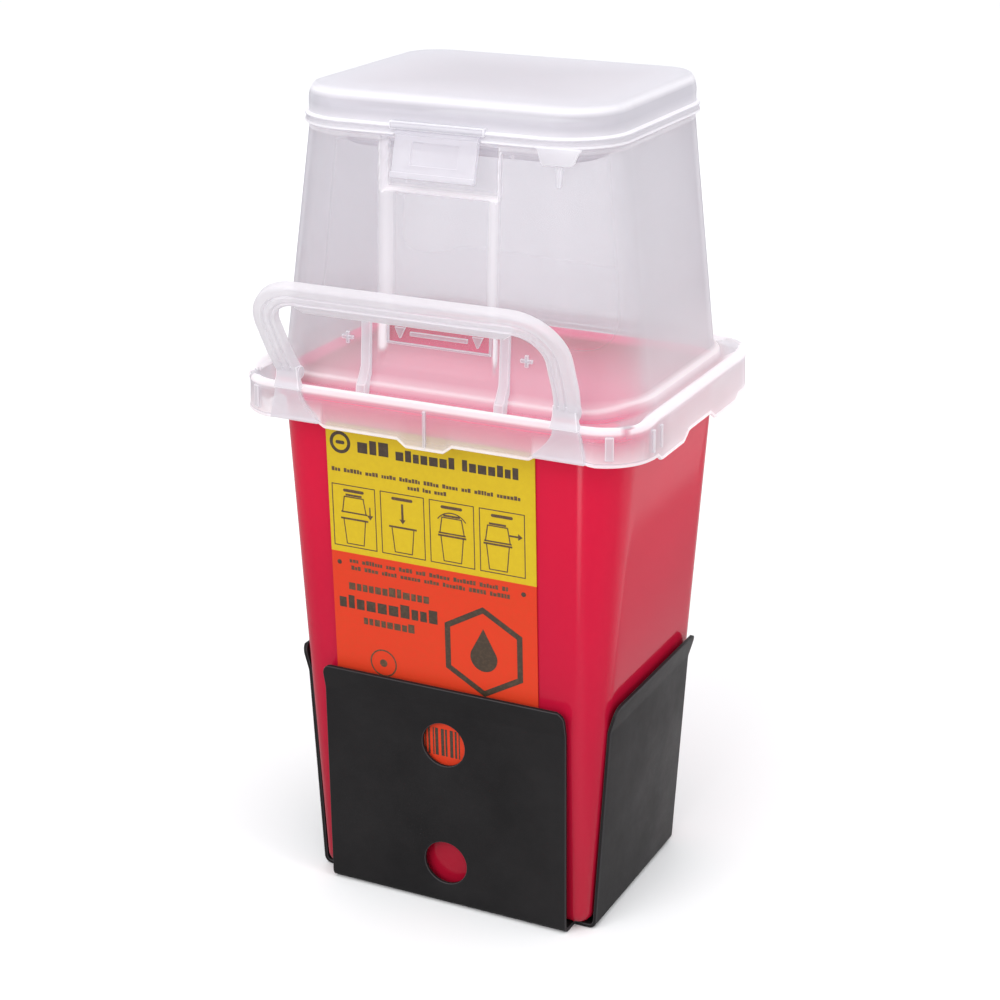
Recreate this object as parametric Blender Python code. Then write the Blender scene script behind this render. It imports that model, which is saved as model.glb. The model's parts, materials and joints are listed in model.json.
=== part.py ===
"""Sharps container standing in its folded sheet-metal bracket.

A red tapering tub sits in a cross-shaped black bracket. A translucent domed lid clips over the
tub's rim, with a hinged cap and latch on top and a swinging carry handle on the front.
Metres, +Z up, the front towards -Y. The origin is the centre of the bracket's base, on its underside.
"""

import math

import bmesh
import bpy
from mathutils import Matrix, Vector

GAP = 0.0003

# Bracket: one folded sheet, a base with an upright panel on each of its four sides.
SHEET = 0.0015
SHEET_BEND = 0.0025
BASE_HALF_X = 0.060
BASE_FRONT = 0.0478
BASE_BACK = 0.0508
FRONT_HALF_WIDTH = 0.051
SIDE_HALF_DEPTH = 0.0391
PANEL_HEIGHT = 0.0835
LIP_LENGTH = 0.0115
LIP_ANGLE = math.radians(13)
FRONT_LEAN = math.radians(1.3)
SIDE_LEAN = math.radians(3.3)
PANEL_CORNER = 0.0045
HOLE_HEIGHTS = (0.0187, 0.0700)
ACCESS_HOLE_RADIUS = 0.0090
SCREW_HOLE_RADIUS = 0.0027

# Sections of the mouldings are (half width, reach to the front, reach to the back, corner radius).

# Tub: sections at its floor and at its rim.
TUB_FLOOR_Z = SHEET + GAP
TUB_TOP_Z = 0.2072
TUB_FLOOR = (0.0576, 0.0433, 0.0435, 0.0057)
TUB_TOP = (0.0714, 0.0521, 0.0553, 0.0186)
TUB_WALL = 0.0018
TUB_FLOOR_THICKNESS = 0.0022
TUB_EDGE = 0.0050
RIM_REACH = 0.0040
RIM_DEPTH = 0.0055

# Label on the tub's front face.
LABEL_THICKNESS = 0.0004
LABEL_HALF_WIDTH = 0.0426
LABEL_CENTRE_X = -0.0036
LABEL_BOTTOM_Z = 0.0500
LABEL_TOP_Z = 0.1940
LABEL_CORNER = 0.0020

# Lid: skirt and flange over the tub's rim, then the dome.
SKIRT = (0.0810, 0.0618, 0.0636, 0.0195)
SKIRT_WALL = 0.0016
SKIRT_CUT_Z = 0.1900
SKIRT_TAB_Z = 0.1919
SKIRT_LOW_Z = 0.1945
SKIRT_HIGH_Z = 0.1963
PULL_RIB = 0.0010
BEAD_Z = 0.2114
CHANNEL_Z = 0.2096
DOME_FOOT = (0.0724, 0.0524, 0.0552, 0.0240)
DOME_FOOT_Z = 0.2136
DOME_TOP = (0.0616, 0.0486, 0.0562, 0.0240)
DOME_TOP_Z = 0.3010
DOME_WALL = 0.0015
NECK_STEP = 0.0026
NECK_TOP_Z = 0.3085
ENTRY = (0.0500, 0.0370, 0.0440, 0.0160)
ENTRY_DEPTH = 0.0140

# Recessed channel down the dome's front, with the deeper latch pocket at its top.
CHANNEL_HALF_WIDTH = 0.0235
CHANNEL_BOTTOM_Z = 0.2190
CHANNEL_DEPTH = 0.0022
CHANNEL_SLOPE = 0.0030
POCKET_HALF_WIDTH = 0.0230
POCKET_FLOOR_Z = 0.2814
POCKET_TOP_Z = 0.3000
POCKET_DEPTH = 0.0042
RIB_X = 0.0276
RIB_WIDTH = 0.0037
RIB_TOP_Z = 0.2400
BUMP_X = 0.0357
BUMP_Z = 0.2273
BUMP_RADIUS = 0.0018
MARK_HALF_WIDTH = 0.0209
MARK_LOW_Z = 0.2264
MARK_HIGH_Z = 0.2352
MARK_LINE = 0.0009
MARK_PROUD = 0.0007

# Cap over the dome's entry.
CAP_RIM = (0.0625, 0.0495, 0.0576, 0.0240)
CAP_RIM_Z = 0.3015
CAP_STEP_Z = 0.3052
CAP_TOP_Z = 0.3155
CAP_EDGE_RISE = 0.0065
CAP_EDGE_SIDE = 0.0040
CAP_EDGE_FRONT = 0.0075
CAP_EDGE_CORNER = 0.0110
CAP_WALL = 0.0015
CAP_CROWN = 0.0006
CAP_STEP = 0.0012

# Rear hinge of the cap: moulded pins in ears on the dome, knuckles on the cap.
HINGE_Y = 0.0612
HINGE_Z = 0.3035
HINGE_X = 0.0290
KNUCKLE_HALF_LENGTH = 0.0040
KNUCKLE_RADIUS = 0.0030
KNUCKLE_BORE = 0.0018
EAR_THICKNESS = 0.0025
EAR_RADIUS = 0.0026
HINGE_PIN_RADIUS = 0.0015

# Latch tab under a bar on the cap's front rim, and the prong beside it.
LATCH_HALF_TOP = 0.0161
LATCH_HALF_LOW = 0.0160
LATCH_BAR_HALF = 0.0184
LATCH_PIVOT_Y = -0.0492
LATCH_PIVOT_Z = 0.3024
LATCH_BARREL = 0.0011
LATCH_LENGTH = 0.0150
LATCH_THICKNESS = 0.0017
LATCH_LEAN = math.radians(15)
HOOK_HALF_WIDTH = 0.0120
HOOK_REACH = 0.0016
THUMB_HALF_WIDTH = 0.0090
THUMB_DEPTH = 0.0006
PRONG_X = 0.0459
PRONG_HALF_WIDTH = 0.0069
PRONG_LOW_Z = 0.2962

# Carry handle, leaning forward from its feet on the skirt.
HANDLE_PIVOT_Y = -0.0606
HANDLE_PIVOT_Z = 0.2142
HANDLE_LEAN = math.radians(28)
HANDLE_HEIGHT = 0.0438
HANDLE_HALF_WIDTH = 0.0616
HANDLE_ROOT_X = 0.0552
HANDLE_BAND = 0.0090
HANDLE_THICKNESS = 0.0046
HANDLE_CORNER = 0.0197
HANDLE_BARREL = 0.0025
GRIP_HALF_WIDTH = 0.0420
GRIP_DROP = 0.0026
FOOT_FRONT_Y = -0.0634

CORNER_STEPS = 6


def clear_scene():
    for obj in list(bpy.data.objects):
        bpy.data.objects.remove(obj, do_unlink=True)


def material(name, color, roughness, metallic=0.0, alpha=1.0):
    made = bpy.data.materials.new(name)
    made.use_nodes = True
    shader = made.node_tree.nodes["Principled BSDF"]
    shader.inputs["Base Color"].default_value = (*color, 1.0)
    shader.inputs["Roughness"].default_value = roughness
    shader.inputs["Metallic"].default_value = metallic
    shader.inputs["Alpha"].default_value = alpha
    return made


def new_object(name, mesh, finish=None):
    obj = bpy.data.objects.new(name, mesh)
    bpy.context.scene.collection.objects.link(obj)
    if finish is not None:
        mesh.materials.append(finish)
    return obj


def object_of(name, bm, finish=None):
    bmesh.ops.recalc_face_normals(bm, faces=bm.faces)
    mesh = bpy.data.meshes.new(name)
    bm.to_mesh(mesh)
    bm.free()
    return new_object(name, mesh, finish)


def shade(obj, angle=35):
    obj.data.shade_smooth()
    obj.data.set_sharp_from_angle(angle=math.radians(angle))


def rounded_ring(half_x, front, back, radius, z, steps=CORNER_STEPS):
    """Points of a rounded rectangle at height z, anticlockwise from the +X side."""
    points = []
    corners = ((1, 1, 0), (-1, 1, 90), (-1, -1, 180), (1, -1, 270))
    for sign_x, sign_y, start in corners:
        centre_x = sign_x * (half_x - radius)
        centre_y = back - radius if sign_y > 0 else radius - front
        for step in range(steps + 1):
            angle = math.radians(start + 90 * step / steps)
            points.append(
                (centre_x + radius * math.cos(angle), centre_y + radius * math.sin(angle), z)
            )
    return points


def grown(section, amount):
    """A section pushed outwards by an amount on all sides."""
    half_x, front, back, radius = section
    return (half_x + amount, front + amount, back + amount, max(radius + amount, 0.002))


def between(low, high, low_z, high_z, z):
    """The section at height z on a straight taper between two sections."""
    share = (z - low_z) / (high_z - low_z)
    return tuple(a + (b - a) * share for a, b in zip(low, high))


def loft(name, rings, finish=None, closed=False):
    """A solid skinned over rings of points; closed joins the last ring to the first."""
    bm = bmesh.new()
    loops = [[bm.verts.new(point) for point in ring] for ring in rings]
    pairs = list(zip(loops, loops[1:]))
    if closed:
        pairs.append((loops[-1], loops[0]))
    for lower, upper in pairs:
        count = len(lower)
        for i in range(count):
            j = (i + 1) % count
            bm.faces.new((lower[i], lower[j], upper[j], upper[i]))
    if not closed:
        bm.faces.new(loops[0][::-1])
        bm.faces.new(loops[-1])
    return object_of(name, bm, finish)


def prism(name, outline, low, high, axis="z", finish=None):
    """A flat outline extruded along an axis. The outline's pairs are the other two axes in order."""
    place = {
        "x": lambda u, v, w: (w, u, v),
        "y": lambda u, v, w: (u, w, v),
        "z": lambda u, v, w: (u, v, w),
    }[axis]
    rings = [[place(u, v, w) for u, v in outline] for w in (low, high)]
    return loft(name, rings, finish)


def box(name, low, high):
    outline = [(low[0], low[1]), (high[0], low[1]), (high[0], high[1]), (low[0], high[1])]
    return prism(name, outline, low[2], high[2])


def cylinder(name, radius, start, end, segments=24):
    start, end = Vector(start), Vector(end)
    along = end - start
    turn = along.to_track_quat("Z", "Y").to_matrix().to_4x4()
    bm = bmesh.new()
    bmesh.ops.create_cone(
        bm,
        cap_ends=True,
        segments=segments,
        radius1=radius,
        radius2=radius,
        depth=along.length,
        matrix=Matrix.Translation((start + end) / 2) @ turn,
    )
    return object_of(name, bm)


def combine(target, tools, operation):
    """Apply Booleans to the target, one tool after another, then remove the tools."""
    for tool in tools:
        modifier = target.modifiers.new(tool.name, "BOOLEAN")
        modifier.operation = operation
        modifier.solver = "EXACT"
        modifier.object = tool
        tool.hide_render = True
        tool.display_type = "WIRE"
    graph = bpy.context.evaluated_depsgraph_get()
    mesh = bpy.data.meshes.new_from_object(target.evaluated_get(graph))
    old = target.data
    target.modifiers.clear()
    target.data = mesh
    bpy.data.meshes.remove(old)
    for tool in tools:
        bpy.data.objects.remove(tool, do_unlink=True)


def move_origin(obj, point):
    """Put the object's origin on a point, leaving its shape where it is."""
    obj.data.transform(Matrix.Translation(-Vector(point)))
    obj.location = point


# ---------------------------------------------------------------- bracket


def sheet_profile(half_inner, lean, with_lip):
    """Centre line of one folded half: base centre outwards, up the panel and out along the lip."""
    middle = SHEET / 2
    points = [(0.0, middle)]
    bend_centre = (half_inner - SHEET_BEND, middle + SHEET_BEND)
    turn = math.pi / 2 - lean
    for step in range(5):
        angle = -math.pi / 2 + turn * step / 4
        points.append(
            (
                bend_centre[0] + SHEET_BEND * math.cos(angle),
                bend_centre[1] + SHEET_BEND * math.sin(angle),
            )
        )
    top = PANEL_HEIGHT
    last = points[-1]
    points.append((last[0] + (top - last[1]) * math.tan(lean), top))
    if with_lip:
        for share, angle in ((0.12, lean + LIP_ANGLE / 2), (0.88, lean + LIP_ANGLE)):
            last = points[-1]
            length = LIP_LENGTH * share
            points.append(
                (last[0] + length * math.sin(angle), last[1] + length * math.cos(angle))
            )
    else:
        last = points[-1]
        points.append((last[0] + LIP_LENGTH * math.sin(lean), last[1] + LIP_LENGTH))
    return points


def thickened(path, thickness):
    """Closed outline of a band of even thickness along an open path."""
    sides = ([], [])
    for i, point in enumerate(path):
        before = Vector(path[max(i - 1, 0)])
        after = Vector(path[min(i + 1, len(path) - 1)])
        here = Vector(point)
        first = (here - before).normalized() if i else (after - here).normalized()
        second = (after - here).normalized() if i < len(path) - 1 else first
        bisector = (first + second).normalized()
        normal = Vector((-bisector.y, bisector.x))
        reach = thickness / 2 / max(bisector.dot(first), 0.5)
        sides[0].append(tuple(here + normal * reach))
        sides[1].append(tuple(here - normal * reach))
    return sides[0] + sides[1][::-1]


def folded_strip(name, low_side, high_side, half_width, axis):
    """One strip of the cross: a panel, the base and the opposite panel, as one bent band."""
    path = [(-u, v) for u, v in low_side[:0:-1]] + high_side[1:]
    return prism(name, thickened(path, SHEET), -half_width, half_width, axis)


def panel_outline(half_width, top):
    """Upright outline of a panel with rounded top corners, reaching below the base."""
    points = [(half_width, -0.01), (half_width, top - PANEL_CORNER)]
    for step in range(1, 6):
        angle = math.radians(90 * step / 5)
        points.append(
            (
                half_width - PANEL_CORNER + PANEL_CORNER * math.cos(angle),
                top - PANEL_CORNER + PANEL_CORNER * math.sin(angle),
            )
        )
    return points + [(-u, v) for u, v in points[::-1]]


def make_bracket():
    black = material("black_powder_coat", (0.035, 0.033, 0.034), 0.45, 0.3)
    centre = SHEET / 2
    front = sheet_profile(BASE_FRONT - centre, FRONT_LEAN, True)
    back = sheet_profile(BASE_BACK - centre, 0.0, False)
    side = sheet_profile(BASE_HALF_X - centre, SIDE_LEAN, True)
    bracket = folded_strip("wall_bracket", front, back, FRONT_HALF_WIDTH, "x")
    wings = folded_strip("wings", side, side, SIDE_HALF_DEPTH, "y")
    top = max(v for u, v in front) + SHEET / 4
    front_trim = prism("trim", panel_outline(FRONT_HALF_WIDTH - 1e-5, top), -0.08, 0.08, "y")
    side_trim = prism("trim", panel_outline(SIDE_HALF_DEPTH - 1e-5, top), -0.09, 0.09, "x")
    combine(bracket, [front_trim], "INTERSECT")
    combine(wings, [side_trim], "INTERSECT")
    combine(bracket, [wings], "UNION")
    holes = []
    for z in HOLE_HEIGHTS:
        holes.append(cylinder("access", ACCESS_HOLE_RADIUS, (0, -0.07, z), (0, -0.03, z), 40))
        holes.append(cylinder("screw", SCREW_HOLE_RADIUS, (0, 0.03, z), (0, 0.07, z), 24))
    combine(bracket, holes, "DIFFERENCE")
    bracket.data.materials.clear()
    bracket.data.materials.append(black)
    shade(bracket)
    return bracket


# ---------------------------------------------------------------- tub and label


def tub_section(z):
    return between(TUB_FLOOR, TUB_TOP, TUB_FLOOR_Z, TUB_TOP_Z, z)


def make_tub():
    red = material("red_polypropylene", (0.62, 0.015, 0.05), 0.3)
    rings = []
    for step in range(4):
        angle = math.radians(90 * step / 3)
        z = TUB_FLOOR_Z + TUB_EDGE * (1 - math.cos(angle))
        rings.append((grown(tub_section(z), -TUB_EDGE * (1 - math.sin(angle))), z))
    rim_low = TUB_TOP_Z - RIM_DEPTH
    rim_turn = TUB_TOP_Z - TUB_WALL
    rings.append((tub_section(rim_turn - TUB_WALL), rim_turn - TUB_WALL))
    rings.append((grown(tub_section(rim_turn), RIM_REACH - TUB_WALL), rim_turn))
    rings.append((grown(tub_section(rim_low), RIM_REACH - TUB_WALL), rim_low))
    rings.append((grown(tub_section(rim_low), RIM_REACH), rim_low))
    rings.append((grown(tub_section(rim_turn), RIM_REACH), rim_turn))
    rings.append((grown(tub_section(TUB_TOP_Z), RIM_REACH - TUB_WALL), TUB_TOP_Z))
    rings.append((grown(tub_section(TUB_TOP_Z), -TUB_WALL / 2), TUB_TOP_Z))
    rings.append((grown(tub_section(TUB_TOP_Z - 0.002), -TUB_WALL), TUB_TOP_Z - 0.002))
    inner_floor = TUB_FLOOR_Z + TUB_FLOOR_THICKNESS
    inner_edge = TUB_EDGE - TUB_WALL
    for step in range(3, -1, -1):
        angle = math.radians(90 * step / 3)
        z = inner_floor + inner_edge * (1 - math.cos(angle))
        inset = TUB_WALL + inner_edge * (1 - math.sin(angle))
        rings.append((grown(tub_section(z), -inset), z))
    tub = loft("sharps_tub", [rounded_ring(*section, z) for section, z in rings], red)
    shade(tub)
    return tub


def make_label():
    """A thin sheet just clear of the tub's leaning front face, with rounded corners."""
    paper = material("label_film", (0.85, 0.62, 0.05), 0.55)
    outline = []
    middle_z = (LABEL_BOTTOM_Z + LABEL_TOP_Z) / 2
    half_height = (LABEL_TOP_Z - LABEL_BOTTOM_Z) / 2
    for x, z, _ in rounded_ring(
        LABEL_HALF_WIDTH, half_height, half_height, LABEL_CORNER, 0.0, 4
    ):
        outline.append((x + LABEL_CENTRE_X, z + middle_z))
    rings = []
    for offset in (GAP, GAP + LABEL_THICKNESS):
        rings.append([(x, -tub_section(z)[1] - offset, z) for x, z in outline])
    return loft("front_label", rings, paper)


# ---------------------------------------------------------------- lid


def dome_section(z):
    return between(DOME_FOOT, DOME_TOP, DOME_FOOT_Z, DOME_TOP_Z, z)


def lid_rings():
    """Sections of the lid's wall, from the skirt's outer edge up over the dome and back inside."""
    skirt_in = grown(SKIRT, -SKIRT_WALL)
    neck = grown(DOME_TOP, -NECK_STEP)
    flange_under = CHANNEL_Z - DOME_WALL
    foot_under = DOME_FOOT_Z - DOME_WALL
    deck_under = NECK_TOP_Z - DOME_WALL
    return [
        (SKIRT, SKIRT_CUT_Z),
        (grown(SKIRT, -0.0004), BEAD_Z - 0.0044),
        (grown(SKIRT, 0.0002), BEAD_Z - 0.0030),
        (grown(SKIRT, 0.0002), BEAD_Z - 0.0014),
        (grown(SKIRT, -0.0008), BEAD_Z - 0.0002),
        (grown(SKIRT, -0.0020), BEAD_Z),
        (grown(SKIRT, -0.0032), BEAD_Z - 0.0004),
        (grown(SKIRT, -0.0038), CHANNEL_Z),
        (grown(DOME_FOOT, 0.0026), CHANNEL_Z),
        (grown(DOME_FOOT, 0.0018), DOME_FOOT_Z - 0.0008),
        (grown(DOME_FOOT, 0.0006), DOME_FOOT_Z),
        (dome_section(DOME_FOOT_Z + 0.0016), DOME_FOOT_Z + 0.0016),
        (dome_section(DOME_TOP_Z - 0.0006), DOME_TOP_Z - 0.0006),
        (grown(DOME_TOP, -0.0006), DOME_TOP_Z),
        (neck, DOME_TOP_Z),
        (neck, NECK_TOP_Z - 0.0008),
        (grown(neck, -0.0008), NECK_TOP_Z),
        (grown(ENTRY, 0.0010), NECK_TOP_Z),
        (ENTRY, NECK_TOP_Z - 0.0010),
        (grown(ENTRY, -0.0020), NECK_TOP_Z - ENTRY_DEPTH),
        (grown(ENTRY, -0.0006), NECK_TOP_Z - ENTRY_DEPTH),
        (grown(ENTRY, 0.0014), deck_under),
        (grown(neck, -DOME_WALL), deck_under),
        (grown(neck, -DOME_WALL), DOME_TOP_Z - 0.0010),
        (grown(dome_section(DOME_TOP_Z - 0.0030), -DOME_WALL), DOME_TOP_Z - 0.0030),
        (grown(dome_section(foot_under), -DOME_WALL), foot_under),
        (grown(DOME_FOOT, 0.0012), flange_under),
        (grown(skirt_in, -0.0010), flange_under),
        (skirt_in, flange_under - 0.0010),
        (skirt_in, SKIRT_CUT_Z),
    ]


def skirt_cutters():
    """Prisms that trim the skirt's lower edge to its tabs: one for each side of the lid."""
    low, high, tab, under = SKIRT_LOW_Z, SKIRT_HIGH_Z, SKIRT_TAB_Z, 0.180
    corner = (low + high) / 2
    half = [(0.0075, tab), (0.0110, low), (0.0410, low), (0.0440, high), (0.0620, high)]
    half += [(0.0645, corner), (0.0900, corner)]
    across = [(-u, v) for u, v in half[::-1]] + half
    front = [(-0.090, under)] + across + [(0.090, under)]
    reach = SKIRT[1] - SKIRT[3]
    half = [(0.0110, high), (0.0160, tab + 0.0012), (0.0370, tab + 0.0012), (0.0400, corner)]
    half += [(reach, corner)]
    across = [(-u, v) for u, v in half[::-1]] + half
    side = [(-reach, under)] + across + [(reach, under)]
    return [
        prism("cut", front, -0.080, -reach, "y"),
        prism("cut", front, reach, 0.080, "y"),
        prism("cut", side, -0.100, -0.060, "x"),
        prism("cut", side, 0.060, 0.100, "x"),
    ]


def front_of_dome(z):
    return -dome_section(z)[1]


def front_block(name, half_low, half_high, low_z, high_z, outer, inner, x=0.0):
    """A block on the dome's leaning front wall, from outer in front of it to inner behind it."""
    rings = []
    for z, half in ((low_z, half_low), (high_z, half_high)):
        face = front_of_dome(z)
        ring = [(x - half, face - outer), (x + half, face - outer)]
        ring += [(x + half, face + inner), (x - half, face + inner)]
        rings.append([(u, v, z) for u, v in ring])
    return loft(name, rings)


def recess_cut(half_width, low_z, high_z, depth, slope):
    """A cutter for a recess in the dome's front whose sides and floor edge slope inwards."""
    rings = []
    for outset, inset in ((0.0010, 0.0), (-depth, slope)):
        corners = ((-1, low_z + inset), (1, low_z + inset), (1, high_z), (-1, high_z))
        rings.append(
            [(side * (half_width - inset), front_of_dome(z) - outset, z) for side, z in corners]
        )
    return loft("recess", rings)


def dome_ribs():
    """The two upright ribs that stiffen the dome's front, each with a foot on the flange."""
    ribs = []
    low, high = CHANNEL_Z - 0.0004, RIB_TOP_Z
    outline = [
        (front_of_dome(low) - 0.0060, low),
        (front_of_dome(low) - 0.0056, CHANNEL_Z + 0.0024),
        (front_of_dome(low) - 0.0044, CHANNEL_Z + 0.0036),
        (front_of_dome(DOME_FOOT_Z) - 0.0018, DOME_FOOT_Z + 0.0044),
        (front_of_dome(high) - 0.0016, high - 0.0012),
        (front_of_dome(high) - 0.0006, high),
        (front_of_dome(high) + 0.0008, high),
        (front_of_dome(low) + 0.0008, low),
    ]
    for side in (-1, 1):
        x = side * RIB_X
        ribs.append(prism("rib", outline, x - RIB_WIDTH / 2, x + RIB_WIDTH / 2, "x"))
    return ribs


def dome_bumps():
    """Two round locating bumps low on the dome's front, and a short rib under the cap's prong."""
    bumps = []
    for side in (-1, 1):
        start = (side * BUMP_X, front_of_dome(BUMP_Z) - 0.0009, BUMP_Z)
        end = (side * BUMP_X, front_of_dome(BUMP_Z) + 0.0010, BUMP_Z)
        bumps.append(cylinder("bump", BUMP_RADIUS, start, end, 12))
    low, high = PRONG_LOW_Z - 0.0130, PRONG_LOW_Z - 0.0015
    bumps.append(front_block("rib", 0.0007, 0.0010, low, high, 0.0008, 0.0008, PRONG_X))
    return bumps


def level_mark():
    """A raised frame with a level line and two arrowheads, on the floor of the front channel."""
    proud, line = MARK_PROUD, MARK_LINE
    half, low, high = MARK_HALF_WIDTH, MARK_LOW_Z, MARK_HIGH_Z
    middle = (low + high) / 2
    shapes = [
        (half, half, low, low + line, proud, 0.0),
        (half, half, high - line, high, proud, 0.0),
        (0.0115, 0.0115, middle - 0.0006, middle + 0.0006, proud, 0.0),
    ]
    for side in (-1, 1):
        upright = side * (half - line / 2 - 0.0002)
        shapes.append((line / 2, line / 2, low + line / 2, high - line / 2, proud * 0.9, upright))
        shapes.append((0.0002, 0.0022, middle - 0.0020, middle + 0.0020, proud, side * 0.0155))
    return [
        front_block(
            "mark", half_low, half_high, bottom, top,
            rise - CHANNEL_DEPTH, CHANNEL_DEPTH + DOME_WALL / 2, x,
        )
        for half_low, half_high, bottom, top, rise, x in shapes
    ]


def handle_feet():
    """Flared feet on the skirt's front, under the ends of the handle."""
    feet = []
    top = BEAD_Z - 0.0004
    half_band = HANDLE_BAND / 2
    for side in (-1, 1):
        outline = [
            (0.0420, SKIRT_HIGH_Z + 0.0016),
            (0.0430, SKIRT_HIGH_Z + 0.0001),
            (0.0628, SKIRT_HIGH_Z + 0.0001),
            (0.0618, SKIRT_HIGH_Z + 0.0050),
            (HANDLE_ROOT_X + half_band, CHANNEL_Z),
            (HANDLE_ROOT_X + half_band, top),
            (HANDLE_ROOT_X - half_band, top),
            (HANDLE_ROOT_X - half_band, CHANNEL_Z),
            (0.0476, SKIRT_HIGH_Z + 0.0082),
        ]
        outline = [(side * u, v) for u, v in outline]
        feet.append(prism("foot", outline, FOOT_FRONT_Y, -SKIRT[1] + 0.0022, "y"))
    return feet


def hinge_ears():
    """Pairs of ears on the dome's rear wall with a moulded pin between the two of each pair."""
    ears = []
    wall_y = DOME_TOP[2] - 0.0008
    outline = [(wall_y, HINGE_Z - 0.0120)]
    for step in range(13):
        angle = math.radians(-35 + 270 * step / 12)
        outline.append(
            (HINGE_Y + EAR_RADIUS * math.cos(angle), HINGE_Z + EAR_RADIUS * math.sin(angle))
        )
    outline.append((wall_y, DOME_TOP_Z - 0.0004))
    inner = KNUCKLE_HALF_LENGTH + GAP
    for side in (-1, 1):
        for ear in (-1, 1):
            near = side * HINGE_X + ear * inner
            far = near + ear * EAR_THICKNESS
            ears.append(prism("ear", outline, min(near, far), max(near, far), "x"))
        reach = inner + EAR_THICKNESS / 2
        start = (side * HINGE_X - reach, HINGE_Y, HINGE_Z)
        end = (side * HINGE_X + reach, HINGE_Y, HINGE_Z)
        ears.append(cylinder("pin", HINGE_PIN_RADIUS, start, end, 20))
    return ears


def make_lid():
    frosted = material("frosted_polypropylene", (0.86, 0.84, 0.86), 0.35, 0.0, 0.45)
    rings = [rounded_ring(*section, z) for section, z in lid_rings()]
    lid = loft("dome_lid", rings, frosted, closed=True)
    combine(lid, skirt_cutters(), "DIFFERENCE")
    half, skin = CHANNEL_HALF_WIDTH, -0.0005
    channel_low, pocket_low = CHANNEL_BOTTOM_Z - 0.0010, POCKET_FLOOR_Z - 0.0015
    channel_back, pocket_back = CHANNEL_DEPTH + DOME_WALL, POCKET_DEPTH + DOME_WALL
    pocket_top = POCKET_TOP_Z + 0.0003
    backings = [
        front_block("backing", half, half, channel_low, POCKET_FLOOR_Z, skin, channel_back),
        front_block("backing", half, half, pocket_low, pocket_top, skin, pocket_back),
    ]
    recesses = [
        recess_cut(CHANNEL_HALF_WIDTH, CHANNEL_BOTTOM_Z, POCKET_TOP_Z, CHANNEL_DEPTH, CHANNEL_SLOPE),
        recess_cut(POCKET_HALF_WIDTH, POCKET_FLOOR_Z, POCKET_TOP_Z - 0.0002, POCKET_DEPTH, 0.0006),
    ]
    combine(lid, backings + dome_ribs() + dome_bumps(), "UNION")
    combine(lid, recesses, "DIFFERENCE")
    pull_low = (-PULL_RIB / 2, -SKIRT[1] - 0.0006, SKIRT_TAB_Z + 0.0012)
    pull_high = (PULL_RIB / 2, -SKIRT[1] + 0.0010, BEAD_Z - 0.0046)
    pull_rib = box("rib", pull_low, pull_high)
    combine(lid, level_mark() + handle_feet() + hinge_ears() + [pull_rib], "UNION")
    shade(lid)
    return lid


# ---------------------------------------------------------------- cap and latch


def cap_edge(share, wall=0.0):
    """Section and height along the cap's rounded top edge: share 0 is the wall, 1 the roof."""
    angle = math.radians(90 * share)
    curl, rise = 1 - math.cos(angle), math.sin(angle)
    half_x, front, back, radius = grown(CAP_RIM, -CAP_STEP - wall)
    section = (
        half_x - CAP_EDGE_SIDE * curl,
        front - CAP_EDGE_FRONT * curl,
        back - CAP_EDGE_FRONT * curl,
        radius - CAP_EDGE_CORNER * curl,
    )
    return section, CAP_TOP_Z - wall - CAP_EDGE_RISE * (1 - rise)


def cap_rings():
    """The cap as a cup: its inner roof first, down the inside to the rim, and up the outside."""
    centre = (0.0300, 0.0180, 0.0260, 0.0080)
    rings = [(centre, CAP_TOP_Z - CAP_WALL + CAP_CROWN)]
    rings += [cap_edge(share, CAP_WALL) for share in (1.0, 0.5, 0.0)]
    rings += [
        (grown(CAP_RIM, -CAP_WALL), CAP_STEP_Z),
        (grown(CAP_RIM, -CAP_WALL), CAP_RIM_Z),
        (CAP_RIM, CAP_RIM_Z),
        (grown(CAP_RIM, 0.0003), CAP_RIM_Z + 0.0008),
        (grown(CAP_RIM, 0.0003), CAP_STEP_Z - 0.0008),
        (grown(CAP_RIM, -0.0002), CAP_STEP_Z),
        (grown(CAP_RIM, -CAP_STEP), CAP_STEP_Z + 0.0002),
    ]
    rings += [cap_edge(share) for share in (0.0, 0.25, 0.5, 0.75, 1.0)]
    rings.append((centre, CAP_TOP_Z + CAP_CROWN))
    return rings


def cap_knuckles():
    knuckles = []
    for side in (-1, 1):
        low = side * HINGE_X - KNUCKLE_HALF_LENGTH
        high = side * HINGE_X + KNUCKLE_HALF_LENGTH
        ends = ((low, HINGE_Y, HINGE_Z), (high, HINGE_Y, HINGE_Z))
        knuckles.append(cylinder("knuckle", KNUCKLE_RADIUS, *ends, 24))
        web_low = (low, CAP_RIM[2] - 0.0008, HINGE_Z - 0.0015)
        web_high = (high, HINGE_Y - 0.0006, HINGE_Z + 0.0016)
        knuckles.append(box("web", web_low, web_high))
    return knuckles


def prong():
    """The short lock prong that hangs from the cap's rim, to the right of the latch."""
    left, right = PRONG_X - PRONG_HALF_WIDTH, PRONG_X + PRONG_HALF_WIDTH
    top, low = CAP_RIM_Z + 0.0012, PRONG_LOW_Z
    outline = [
        (left, top),
        (left + 0.0004, low + 0.0010),
        (left + 0.0014, low),
        (right - 0.0022, low + 0.0003),
        (right - 0.0006, low + 0.0016),
        (right, top),
    ]
    back = front_of_dome(PRONG_LOW_Z) - 0.0004
    return prism("prong", outline, back - 0.0013, back, "y")


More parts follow.
